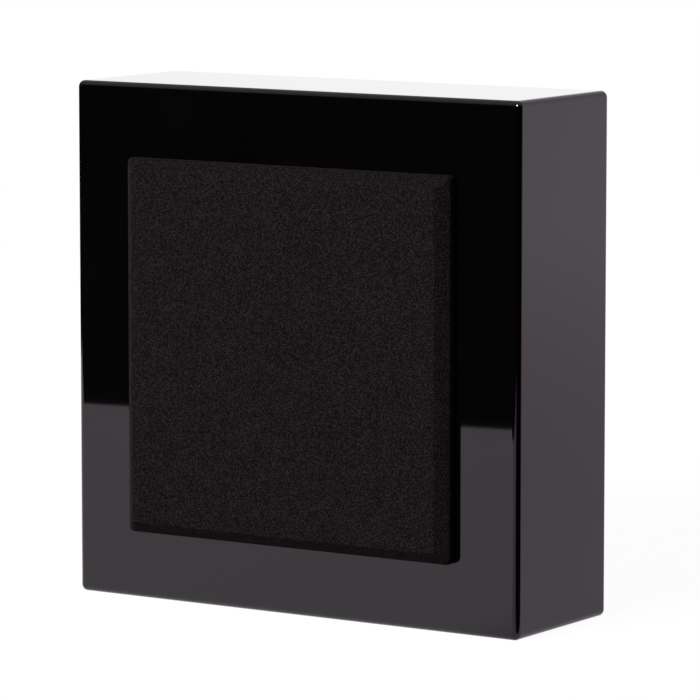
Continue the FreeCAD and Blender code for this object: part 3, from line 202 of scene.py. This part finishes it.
def flecks_value(tree, where, grain):
    """Cells about grain metres across with values from 0 to 1, of which few are high."""
    cells = node(tree, "ShaderNodeTexVoronoi", {"Vector": where, "Scale": 1 / grain}).outputs["Color"]
    even = node(tree, "ShaderNodeSeparateColor", {"Color": cells}).outputs["Red"]
    return calculate(tree, "MULTIPLY", even, even)


def bump(tree, height, distance, below=None):
    """A bump of the given height in metres, on top of another one."""
    made = node(tree, "ShaderNodeBump", {"Height": height, "Distance": distance, "Strength": 1.0})
    if below is not None:
        tree.links.new(below, made.inputs["Normal"])
    return made.outputs["Normal"]


def new_material(name, constant):
    """A material with one Principled shader, whose constant sockets are set on it."""
    made = bpy.data.materials.new(name)
    tree = empty_tree(made)
    shader = node(tree, "ShaderNodeBsdfPrincipled", socket_names(constant))
    node(tree, "ShaderNodeOutputMaterial", {"Surface": shader.outputs["BSDF"]})
    return made, tree, shader


def connect(tree, shader, **sources):
    """Links worked-out values to the shader's sockets."""
    for name, source in socket_names(sources).items():
        tree.links.new(source, shader.inputs[name])


def mottled(name, dark, light, grain, rough, relief, relief_grain, stretch=(1, 1, 1), **constant):
    """A finish with cloudy colour, uneven gloss and a fine surface relief."""
    made, tree, shader = new_material(name, constant)
    where = place_of(tree, stretch)
    clouds = noise_value(tree, where, grain)
    fine = noise_value(tree, where, relief_grain)
    connect(tree, shader, Base_Color=blend_colours(tree, clouds, dark, light),
            Roughness=spread(tree, fine, *rough), Normal=bump(tree, fine, relief))
    return made


def ribbed(name, dark, light, pitch, direction, rough, relief, **constant):
    """A finish with parallel lines, such as wound wire."""
    made, tree, shader = new_material(name, constant)
    where = place_of(tree)
    cloud_grain = 4 * pitch
    lines = lines_value(tree, where, pitch, direction, Distortion=0.6)
    clouds = noise_value(tree, where, cloud_grain)
    connect(tree, shader, Base_Color=blend_colours(tree, lines, dark, light),
            Roughness=spread(tree, clouds, *rough), Normal=bump(tree, lines, relief))
    return made


def woven(name, dark, light, thread, speck, rough, relief, flecked=False, **constant):
    """Cloth in the X-Z plane: crossing threads, uneven yarn, soft patches and, if flecked, bright specks."""
    patch_grain, patch_depth, yarn_detail, weave_relief = 30 * speck, 0.07, 2.0, relief / 2
    made, tree, shader = new_material(name, constant)
    where = place_of(tree)
    warp = {"Distortion": 2.0, "Detail": 1.0, "Detail_Scale": 3.0}
    across, along = (lines_value(tree, where, thread, direction, **warp) for direction in "XZ")
    weave = calculate(tree, "MAXIMUM", across, along)
    yarn = noise_value(tree, where, speck, yarn_detail)
    patches = spread(tree, noise_value(tree, where, patch_grain, yarn_detail), -patch_depth, patch_depth)
    fibre = flecks_value(tree, where, speck) if flecked else yarn
    shade = calculate(tree, "ADD", patches, fibre)
    connect(tree, shader, Base_Color=blend_colours(tree, shade, dark, light),
            Roughness=spread(tree, yarn, *rough),
            Normal=bump(tree, yarn, relief, bump(tree, weave, weave_relief)))
    return made


def grey(value, tint=0.0):
    """A grey, a little redder or bluer by the tint."""
    return (value * (1 + tint), value, value * (1 - tint / 2))


# Looks that several finishes share.
BARE_BOARD = {"dark": grey(0.011), "light": grey(0.02), "grain": 9 * MM, "rough": (0.6, 0.8),
              "relief": 40 * MICRON, "relief_grain": 0.7 * MM}
PLASTIC = {"grain": 6 * MM, "rough": (0.38, 0.55), "relief": 12 * MICRON, "relief_grain": 0.5 * MM}
POLISHED_PLASTIC = {"grain": 3 * MM, "rough": (0.18, 0.3), "relief": 4 * MICRON, "relief_grain": 0.7 * MM,
                    "Coat_Weight": 0.3}
BRIGHT_METAL = {"rough": (0.22, 0.42), "relief": 3 * MICRON, "relief_grain": 0.5 * MM, "Metallic": 1.0}


def cabinet_finishes():
    """Cabinet, rear panel, wadding, screws and wall hangers."""
    return {
        "lacquer": mottled("lacquer", dark=(0.0014, 0.0013, 0.0014), light=(0.0019, 0.0018, 0.0019),
                           grain=40 * MM, rough=(0.015, 0.038), relief=0.2 * MICRON, relief_grain=3 * MM,
                           IOR=1.52, Specular_Tint=(0.98, 0.87, 1.0, 1)),
        "rear_board": mottled("rear_board", **BARE_BOARD),
        "foam": mottled("foam", dark=grey(0.012), light=grey(0.03), grain=0.8 * MM, rough=(0.8, 0.95),
                        relief=150 * MICRON, relief_grain=0.6 * MM),
        "wadding": mottled("wadding", dark=(0.55, 0.55, 0.52), light=(0.82, 0.82, 0.79), grain=3 * MM,
                           rough=(0.85, 1.0), relief=400 * MICRON, relief_grain=0.5 * MM, stretch=(1, 1, 4),
                           Sheen_Weight=0.4),
        "black_steel": mottled("black_steel", dark=grey(0.02), light=grey(0.05), grain=0.8 * MM,
                               rough=(0.3, 0.5), relief=4 * MICRON, relief_grain=0.4 * MM, Metallic=0.7),
        "hanger": mottled("hanger", dark=(0.52, 0.52, 0.50), light=(0.66, 0.66, 0.66), grain=5 * MM,
                          stretch=(3, 3, 1), **BRIGHT_METAL),
    }


def grille_finishes():
    """The cloth panel, its board, pegs and rubber cups."""
    return {
        "cloth": woven("cloth", dark=(0.0072, 0.0057, 0.0061), light=(0.0305, 0.0243, 0.0259),
                       thread=0.32 * MM, speck=0.34 * MM, rough=(0.85, 1.0), relief=90 * MICRON,
                       flecked=True, Sheen_Weight=0.021, Sheen_Roughness=0.3, Specular_IOR_Level=0.0),
        "grille_board": mottled("grille_board", **BARE_BOARD),
        "peg": mottled("peg", dark=grey(0.012), light=grey(0.02), **PLASTIC),
        "rubber": mottled("rubber", dark=grey(0.010), light=grey(0.018), grain=4 * MM, rough=(0.6, 0.8),
                          relief=15 * MICRON, relief_grain=0.8 * MM),
    }


def driver_finishes():
    """The woofer and the tweeter."""
    return {
        "basket": mottled("basket", dark=grey(0.018), light=grey(0.028), grain=2 * MM, rough=(0.35, 0.5),
                          relief=10 * MICRON, relief_grain=0.6 * MM),
        "trim": mottled("trim", dark=grey(0.012), light=grey(0.018), **PLASTIC),
        "surround": mottled("surround", dark=grey(0.010), light=grey(0.016), grain=5 * MM, rough=(0.45, 0.6),
                            relief=8 * MICRON, relief_grain=0.7 * MM),
        "cone": mottled("cone", dark=grey(0.012, 0.05), light=grey(0.04, 0.05), grain=1.2 * MM,
                        rough=(0.55, 0.75), relief=60 * MICRON, relief_grain=0.8 * MM, stretch=(1, 1, 2)),
        "former": mottled("former", dark=grey(0.55), light=grey(0.7), grain=2 * MM, **BRIGHT_METAL),
        "copper": ribbed("copper", dark=(0.30, 0.10, 0.04), light=(0.75, 0.33, 0.16), pitch=0.35 * MM,
                         direction="Y", rough=(0.25, 0.4), relief=60 * MICRON, Metallic=1.0),
        "spider": woven("spider", dark=(0.28, 0.17, 0.06), light=(0.55, 0.38, 0.17), thread=0.6 * MM,
                        speck=0.8 * MM, rough=(0.7, 0.9), relief=60 * MICRON),
        "steel": mottled("steel", dark=grey(0.35), light=grey(0.5, 0.03), grain=3 * MM, stretch=(1, 4, 4),
                         **BRIGHT_METAL),
        "ferrite": mottled("ferrite", dark=grey(0.035), light=grey(0.07), grain=1.5 * MM, rough=(0.45, 0.65),
                           relief=15 * MICRON, relief_grain=0.5 * MM),
        "neodymium": mottled("neodymium", dark=grey(0.55), light=grey(0.65, 0.02), grain=4 * MM,
                             **BRIGHT_METAL),
        "faceplate": mottled("faceplate", dark=grey(0.012), light=grey(0.018), **PLASTIC),
        "silk": woven("silk", dark=grey(0.008), light=grey(0.03), thread=0.25 * MM, speck=0.35 * MM,
                      rough=(0.35, 0.55), relief=15 * MICRON, Coat_Weight=0.3, Coat_Roughness=0.35),
    }


def terminal_finishes():
    """The terminal cup, its posts and its caps."""
    return {
        "cup": mottled("cup", dark=grey(0.012), light=grey(0.02), grain=5 * MM, rough=(0.5, 0.65),
                       relief=30 * MICRON, relief_grain=0.45 * MM),
        "gold": mottled("gold", dark=(0.70, 0.46, 0.17), light=(0.88, 0.64, 0.30), grain=3 * MM,
                        **BRIGHT_METAL),
        "cap_red": mottled("cap_red", dark=(0.42, 0.010, 0.010), light=(0.55, 0.02, 0.018),
                           **POLISHED_PLASTIC),
        "cap_black": mottled("cap_black", dark=grey(0.010), light=grey(0.018), **POLISHED_PLASTIC),
    }


def crossover_finishes():
    """The crossover, the tags and the leads."""
    return {
        "circuit_board": mottled("circuit_board", dark=(0.02, 0.09, 0.03), light=(0.04, 0.14, 0.05),
                                 grain=4 * MM, rough=(0.3, 0.45), relief=8 * MICRON, relief_grain=0.6 * MM),
        "nylon": mottled("nylon", dark=grey(0.68), light=grey(0.8), grain=3 * MM, rough=(0.4, 0.55),
                         relief=8 * MICRON, relief_grain=0.6 * MM),
        "bobbin": mottled("bobbin", dark=grey(0.015), light=grey(0.03), **PLASTIC),
        "film_capacitor": mottled("film_capacitor", dark=(0.55, 0.38, 0.05), light=(0.72, 0.52, 0.1),
                                  grain=4 * MM, rough=(0.25, 0.4), relief=10 * MICRON,
                                  relief_grain=0.8 * MM),
        "cement": mottled("cement", dark=grey(0.62), light=grey(0.8), grain=1.5 * MM, rough=(0.75, 0.9),
                          relief=40 * MICRON, relief_grain=0.5 * MM),
        "fibre": mottled("fibre", dark=(0.13, 0.06, 0.03), light=(0.22, 0.11, 0.05), grain=1.5 * MM,
                         rough=(0.5, 0.65), relief=12 * MICRON, relief_grain=0.5 * MM, stretch=(1, 1, 4)),
        "tinned": mottled("tinned", dark=grey(0.55), light=grey(0.72, 0.02), grain=2 * MM, **BRIGHT_METAL),
        "lead": mottled("lead", dark=grey(0.012), light=grey(0.02), **PLASTIC),
    }


def make_finishes():
    """One material for each slot of the record."""
    return {**cabinet_finishes(), **grille_finishes(), **driver_finishes(), **terminal_finishes(),
            **crossover_finishes()}


def paint_cad_nodes(finishes):
    """Every CAD node takes the material of its slot."""
    for subpart in frame["record"]["subparts"]:
        shown = frame["nodes"][subpart["node"]]
        if not shown.material_slots:
            shown.data.materials.append(None)
        for held in shown.material_slots:
            held.material = finishes[subpart["material_slot"]]


def new_piece(name, mesh, finishes, slot, body):
    """A piece of the object with its finish, riding on its body."""
    piece = link_new(name, mesh)
    mesh.materials.append(finishes[slot])
    mesh.shade_smooth()
    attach(piece, body)
    return piece


def softened(corners, steps=6):
    """A run of points through corners (inset, depth, radius), each rounded by its radius."""
    points = [Vector(corners[0][:2])]
    for before, corner, after in zip(corners, corners[1:], corners[2:]):
        here = Vector(corner[:2])
        start = here + (Vector(before[:2]) - here).normalized() * corner[2]
        end = here + (Vector(after[:2]) - here).normalized() * corner[2]
        for step in range(steps + 1):
            share = step / steps
            points.append(start.lerp(here, share).lerp(here.lerp(end, share), share))
    points.append(Vector(corners[-1][:2]))
    return points


def rounded_loop(half_x, half_z, radius, y, centre, corner_steps=8, side_steps=24):
    """A rounded rectangle in the plane y, with the same number of points whatever its size."""
    quarter_turn = math.pi / 2
    points = []
    for quarter in range(4):
        start = quarter * quarter_turn
        middle = start + quarter_turn / 2
        hub = Vector((math.copysign(half_x - radius, math.cos(middle)),
                      math.copysign(half_z - radius, math.sin(middle))))
        for step in range(corner_steps + 1):
            angle = start + quarter_turn * step / corner_steps
            points.append(hub + radius * Vector((math.cos(angle), math.sin(angle))))
    closed = []
    for index, point in enumerate(points):
        closed.append(point)
        if index % (corner_steps + 1) == corner_steps:
            following = points[(index + 1) % len(points)]
            closed += [point.lerp(following, step / side_steps) for step in range(1, side_steps)]
    return [Vector((centre.x + point.x, y, centre.z + point.y)) for point in closed]


def lofted(name, loops):
    """A mesh over loops of equal length, closed over the last one."""
    mesh = bpy.data.meshes.new(name)
    count = len(loops[0])
    points = [point for loop in loops for point in loop]
    faces = []
    for ring in range(len(loops) - 1):
        for index in range(count):
            following = (index + 1) % count
            faces.append((ring * count + index, ring * count + following,
                          (ring + 1) * count + following, (ring + 1) * count + index))
    faces.append(tuple((len(loops) - 1) * count + index for index in range(count)))
    mesh.from_pydata(points, [], faces)
    mesh.validate()
    return mesh


def make_grille_cloth(finishes):
    """Cloth stretched over the bevelled board and folded behind it."""
    bevel, fold, corner, thickness = 5 * MM, 4.5 * MM, 2.2 * MM, 0.5 * MM
    back_round, wall_round, front_round = 0.6 * MM, 1.0 * MM, 0.7 * MM
    rim_width, steps_inward, last_half_width = 6 * MM, 7, 1 * MM
    corner_loss, least_corner = 0.3, 0.2 * MM
    low, high = (Vector(point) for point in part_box("grille_cloth"))
    centre = (low + high) / 2
    half = (high - low) / 2
    depth = high.y - low.y
    rim = bevel + rim_width
    profile = softened([(fold, depth), (0, depth, back_round), (0, bevel, wall_round),
                        (bevel, 0, front_round), (rim, 0)])
    reach = min(half.x, half.z) - last_half_width - rim
    inward = [Vector((rim + reach * step / steps_inward, 0)) for step in range(1, steps_inward + 1)]
    loops = []
    for inset, back in profile + inward:
        radius = max(corner - corner_loss * min(inset, bevel), least_corner)
        loops.append(rounded_loop(half.x - inset, half.z - inset, radius, low.y + back, centre))
    mesh = lofted("grille_cloth_sheet", loops)
    cloth = new_piece("grille_cloth_sheet", mesh, finishes, "cloth", "grille")
    cloth_body = cloth.modifiers.new("thickness", "SOLIDIFY")
    cloth_body.thickness = thickness
    cloth_body.offset = -1
    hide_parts("grille_cloth")


def make_wadding(finishes):
    """Loose polyester pads glued to the side walls."""
    cuts, swell, corner_loss, lumps_per_metre = 14, 1.2 * MM, 0.16, 90
    for side in ("left", "right"):
        low, high = (Vector(point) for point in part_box(f"wadding_{side}"))
        half = (high - low) / 2 - Vector((swell, swell, swell))
        form = bmesh.new()
        bmesh.ops.create_cube(form, size=2)
        bmesh.ops.subdivide_edges(form, edges=form.edges, cuts=cuts, use_grid_fill=True)
        for point in form.verts:
            flat = point.co.copy()
            x, y, z = (value ** 2 for value in flat)
            roundness = 1 - corner_loss * (x * z + y * z + x * y)
            place = flat * half * roundness
            lump = noise.noise(place * lumps_per_metre) * swell
            point.co = (low + high) / 2 + place + flat.normalized() * lump
        mesh = bpy.data.meshes.new(f"wadding_pad_{side}")
        form.to_mesh(mesh)
        form.free()
        pad = new_piece(f"wadding_pad_{side}", mesh, finishes, "wadding", "cabinet")
        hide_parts(f"wadding_{side}")


def make_suspensions():
    """The drivers' soft rings, which bend between the moving part inside and the frame that holds them."""
    rings = (("woofer_surround", "surround", "woofer_moving", 39.4 * MM, 45.4 * MM),
             ("woofer_spider", "spider", "woofer_moving", 12.85 * MM, 30.0 * MM),
             ("tweeter_dome", "silk", "tweeter_moving", 13.4 * MM, 15.0 * MM))
    for name, slot, moving, moving_radius, still_radius in rings:
        low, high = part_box(name)
        centre = (low + high) / 2
        ring = link_new(f"{name}_flexing", frame["nodes"][name].data.copy())
        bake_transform(ring, "cabinet", moving, centre + still_radius * AXIS_X, centre + moving_radius * AXIS_X)
        shares = ring.data.attributes["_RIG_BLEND"].data
        for point, share in zip(ring.data.vertices, shares):
            radius = math.hypot(point.co.x - centre.x, point.co.z - centre.z)
            inward = min(max((still_radius - radius) / (still_radius - moving_radius), 0), 1)
            share.value = inward * inward * (3 - 2 * inward)
        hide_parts(name)


def solids_of(name):
    """The lowest and highest corners of each separate solid of a CAD node."""
    digits_of_a_place = 6
    mesh = frame["nodes"][name].data
    keys = [tuple(round(value, digits_of_a_place) for value in point.co) for point in mesh.vertices]
    joined = {key: key for key in keys}

    def root(key):
        while joined[key] != key:
            joined[key] = joined[joined[key]]
            key = joined[key]
        return key

    for edge in mesh.edges:
        first, second = (root(keys[index]) for index in edge.vertices)
        joined[first] = second
    groups = {}
    for key in joined:
        groups.setdefault(root(key), []).append(key)
    return [(Vector(map(min, zip(*group))), Vector(map(max, zip(*group)))) for group in groups.values()]


def circle(form, centre, radius, y, count=40):
    """A ring of points about the Y axis through the centre."""
    made = []
    for index in range(count):
        angle = 2 * math.pi * index / count
        x, z = radius * math.cos(angle), radius * math.sin(angle)
        made.append(form.verts.new((centre.x + x, y, centre.z + z)))
    return made


def cross(form, centre, arm, width, y):
    """The twelve points of a cross about the Y axis through the centre."""
    quarter = [(arm, -width), (arm, width), (width, width)]
    made = []
    for turn in range(4):
        cosine, sine = round(math.cos(turn * math.pi / 2)), round(math.sin(turn * math.pi / 2))
        for x, z in quarter:
            place = (centre.x + x * cosine - z * sine, y, centre.z + x * sine + z * cosine)
            made.append(form.verts.new(place))
    return made


def bridge(form, first, second):
    """Faces between two rings of the same length."""
    count = len(first)
    for index in range(count):
        following = (index + 1) % count
        form.faces.new((first[index], first[following], second[following], second[index]))


def ring_edges(form, ring):
    """The edges of a closed ring of points."""
    made = []
    for index, point in enumerate(ring):
        other = ring[(index + 1) % len(ring)]
        made.append(form.edges.get((point, other)) or form.edges.new((point, other)))
    return made


def cross_head_screw(form, low, high, facing):
    """A countersunk screw along Y with a cross recess in the head that faces that way."""
    centre = (low + high) / 2
    radius = (high.x - low.x) / 2
    top = high.y if facing > 0 else low.y
    tip = low.y if facing > 0 else high.y
    shank, rim = 0.52 * radius, 0.06 * radius
    arm, width, recess = 0.56 * radius, 0.11 * radius, 0.5 * radius
    floor_arm, floor_width = 0.55 * arm, 0.6 * width
    tip_length, tip_radius = 2 * shank, 0.15 * shank
    head = circle(form, centre, radius - rim, top)
    edge = circle(form, centre, radius, top - facing * rim)
    neck = circle(form, centre, shank, top - facing * (radius - shank))
    end = circle(form, centre, shank, tip + facing * tip_length)
    point = circle(form, centre, tip_radius, tip)
    for first, second in ((head, edge), (edge, neck), (neck, end), (end, point)):
        bridge(form, first, second)
    form.faces.new(point)
    mouth = cross(form, centre, arm, width, top)
    bottom = cross(form, centre, floor_arm, floor_width, top - facing * recess)
    bridge(form, mouth, bottom)
    form.faces.new(bottom)
    bmesh.ops.triangle_fill(form, use_beauty=True, edges=ring_edges(form, head) + ring_edges(form, mouth))


def make_screws(finishes):
    """Screws with cross recesses in place of the plain ones."""
    facings = {"rear_panel_screws": 1, "keyhole_screws": 1, "terminal_screws": 1,
               "woofer_screws": -1, "tweeter_screws": -1}
    sharp = math.radians(25)
    for name, facing in facings.items():
        form = bmesh.new()
        for low, high in solids_of(name):
            cross_head_screw(form, low, high, facing)
        bmesh.ops.recalc_face_normals(form, faces=form.faces)
        mesh = bpy.data.meshes.new(f"{name}_cross_head")
        form.to_mesh(mesh)
        form.free()
        piece = new_piece(f"{name}_cross_head", mesh, finishes, "black_steel", "cabinet")
        mesh.set_sharp_from_angle(angle=sharp)
        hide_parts(name)


def ray_kinds(tree):
    """The share of camera rays, and of rays that a mirror or glass sends on."""
    rays = node(tree, "ShaderNodeLightPath").outputs
    mirrored = calculate(tree, "MAXIMUM", rays["Is Glossy Ray"], rays["Is Transmission Ray"])
    return rays["Is Camera Ray"], mirrored


def make_world():
    """White behind the speaker, dimmer higher up and to the right, a grey ceiling, a dark room in front."""
    ceiling, high_share, right_share = 0.45, 0.7, 0.85
    right_span, back_span, high_span, ceiling_span = (-0.2, 0.3), (0.45, 0.87), (0.15, 0.5), (0.35, 0.7)
    fill_span = (0.5, 0.95)
    world = bpy.data.worlds.new("studio")
    bpy.context.scene.world = world
    tree = empty_tree(world)
    camera_ray, mirrored = ray_kinds(tree)
    way = node(tree, "ShaderNodeTexCoord").outputs["Generated"]
    along = node(tree, "ShaderNodeSeparateXYZ", {"Vector": way}).outputs
    aside = ramp(tree, along["X"], right_span, 0.0, 1.0)
    behind = calculate(tree, "MULTIPLY", ramp(tree, along["Y"], back_span, 0.0, 1.0),
                       spread(tree, aside, 1.0, right_share))
    backdrop = calculate(tree, "MULTIPLY", behind, ramp(tree, along["Z"], high_span, 1.0, high_share))
    room = calculate(tree, "MAXIMUM", backdrop, ramp(tree, along["Z"], ceiling_span, 0.0, ceiling))
    fill = ramp(tree, along["Y"], fill_span, 0.0, 1.0)
    shine = node(tree, "ShaderNodeBackground", {"Color": blend_colours(tree, aside, WHITE, FAR_TINT),
                                                "Strength": choose(tree, mirrored, fill, room)})
    seen = node(tree, "ShaderNodeBackground", {"Color": (*WHITE, 1), "Strength": 1.0})
    both = node(tree, "ShaderNodeMixShader", {0: camera_ray, 1: shine.outputs["Background"],
                                              2: seen.outputs["Background"]})
    node(tree, "ShaderNodeOutputWorld", {"Surface": both.outputs["Shader"]})


def table_corners():
    """The outline of the table top, with a corner cut out of it beside the speaker's near corner."""
    back = Vector((math.cos(TABLE_SIDE_TURN), math.sin(TABLE_SIDE_TURN)))
    ahead = Vector((math.cos(TABLE_NOTCH_TURN), math.sin(TABLE_NOTCH_TURN)))
    near = Vector((shell_high.x, FRONT)) + TABLE_SIDE_GAP * Vector((back.y, -back.x))
    front_at_near = -TABLE_FRONT_REACH + TABLE_FRONT_SLOPE * near.x
    to_front = (front_at_near - near.y) / (ahead.y - TABLE_FRONT_SLOPE * ahead.x)
    left_front = Vector((-TABLE_LEFT, -TABLE_FRONT_REACH - TABLE_FRONT_SLOPE * TABLE_LEFT))
    left_back = Vector((-TABLE_LEFT, TABLE_FAR))
    return [left_front, near + to_front * ahead, near, near + TABLE_FAR * back, left_back]


def make_floor():
    """A white table top that keeps the speaker's shadow. In mirrors it glows with painted light, a painted
    reflection of the lit floor, dimmer with painted shade where the speaker shades it.
    """
    near_lift, mirror_lift, shaded_lift, far_lift, paper_colour = 0.95, 0.96, 0.6, 0.86, grey(0.107)
    right_span = (shell_high.x - 0.05, shell_high.x + 0.02)
    far_span, open_span = (0.2, 1.5), (0.25, 0.7)
    mesh = bpy.data.meshes.new("floor")
    corners = [(x, y, FLOOR) for x, y in table_corners()]
    mesh.from_pydata(corners, [], [tuple(range(len(corners)))])
    floor = link_new("floor", mesh)
    white = bpy.data.materials.new("floor_white")
    tree = empty_tree(white)
    camera_ray, mirrored = ray_kinds(tree)
    where = place_of(tree)
    place = node(tree, "ShaderNodeSeparateXYZ", {"Vector": where}).outputs
    distance = node(tree, "ShaderNodeVectorMath", {0: where}, operation="LENGTH").outputs["Value"]
    aside = ramp(tree, place["X"], right_span, 0.0, 1.0)
    # Painted light: the glow that mirrors see is high in front and to the left, with painted shade beside the
    # speaker on the right, and brighter again far behind.
    shaded = calculate(tree, "MAXIMUM", spread(tree, aside, mirror_lift, shaded_lift),
                       ramp(tree, place["Y"], far_span, shaded_lift, far_lift))
    seen = ramp(tree, distance, open_span, near_lift, 1.0)
    lift = choose(tree, camera_ray, choose(tree, mirrored, 0.0, shaded), seen)
    # A painted magenta tint on that glow, seen only in mirrors, far to the right.
    tint = blend_colours(tree, choose(tree, camera_ray, aside, 0.0), WHITE, FAR_TINT)
    paper = node(tree, "ShaderNodeBsdfDiffuse", {"Color": (*paper_colour, 1)}).outputs["BSDF"]
    glow = node(tree, "ShaderNodeEmission", {"Color": tint, "Strength": lift}).outputs["Emission"]
    both = node(tree, "ShaderNodeAddShader", {0: paper, 1: glow}).outputs["Shader"]
    node(tree, "ShaderNodeOutputMaterial", {"Surface": both})
    mesh.materials.append(white)


def soft_light(name, place, size, radiance):
    """A softbox of the given radiance, aimed at the speaker and out of the camera's sight."""
    lamp = bpy.data.lights.new(name, "AREA")
    lamp.shape = "RECTANGLE"
    lamp.size, lamp.size_y = size
    lamp.energy = radiance * math.pi * lamp.size * lamp.size_y
    made = link_new(name, lamp)
    made.location = place
    made.rotation_euler = (MIDDLE - Vector(place)).to_track_quat("-Z", "Y").to_euler()
    made.visible_camera = False
    return made


def make_lights():
    """A softbox in front, a weak one above, a panel behind, a strip at the left and a small catch light."""
    key_softbox = soft_light("key_softbox", place=(-0.35, -2.1, 0.83), size=(1.2, 1.2), radiance=12.3)
    key_softbox.visible_glossy = False
    soft_light("top_softbox", place=(0.3, -0.3, 2.1), size=(2.2, 2.2), radiance=0.1)
    soft_light("back_panel", place=(-2.0, 3.0, 0.55), size=(4.0, 1.4), radiance=0.37)
    edge_light = soft_light("edge_light", place=(-1.5, -0.06, 0.0), size=(0.4, 0.3), radiance=52.0)
    edge_light.visible_glossy = False
    catch_light = soft_light("catch_light", place=(1.0, -1.45, 1.385), size=(0.5, 0.5), radiance=120.0)
    catch_light.visible_diffuse = False


bpy.context.scene.view_settings.view_transform = "Standard"
place_camera()
all_finishes = make_finishes()
paint_cad_nodes(all_finishes)
make_grille_cloth(all_finishes)
make_wadding(all_finishes)
make_suspensions()
make_screws(all_finishes)
make_world()
make_floor()
make_lights()
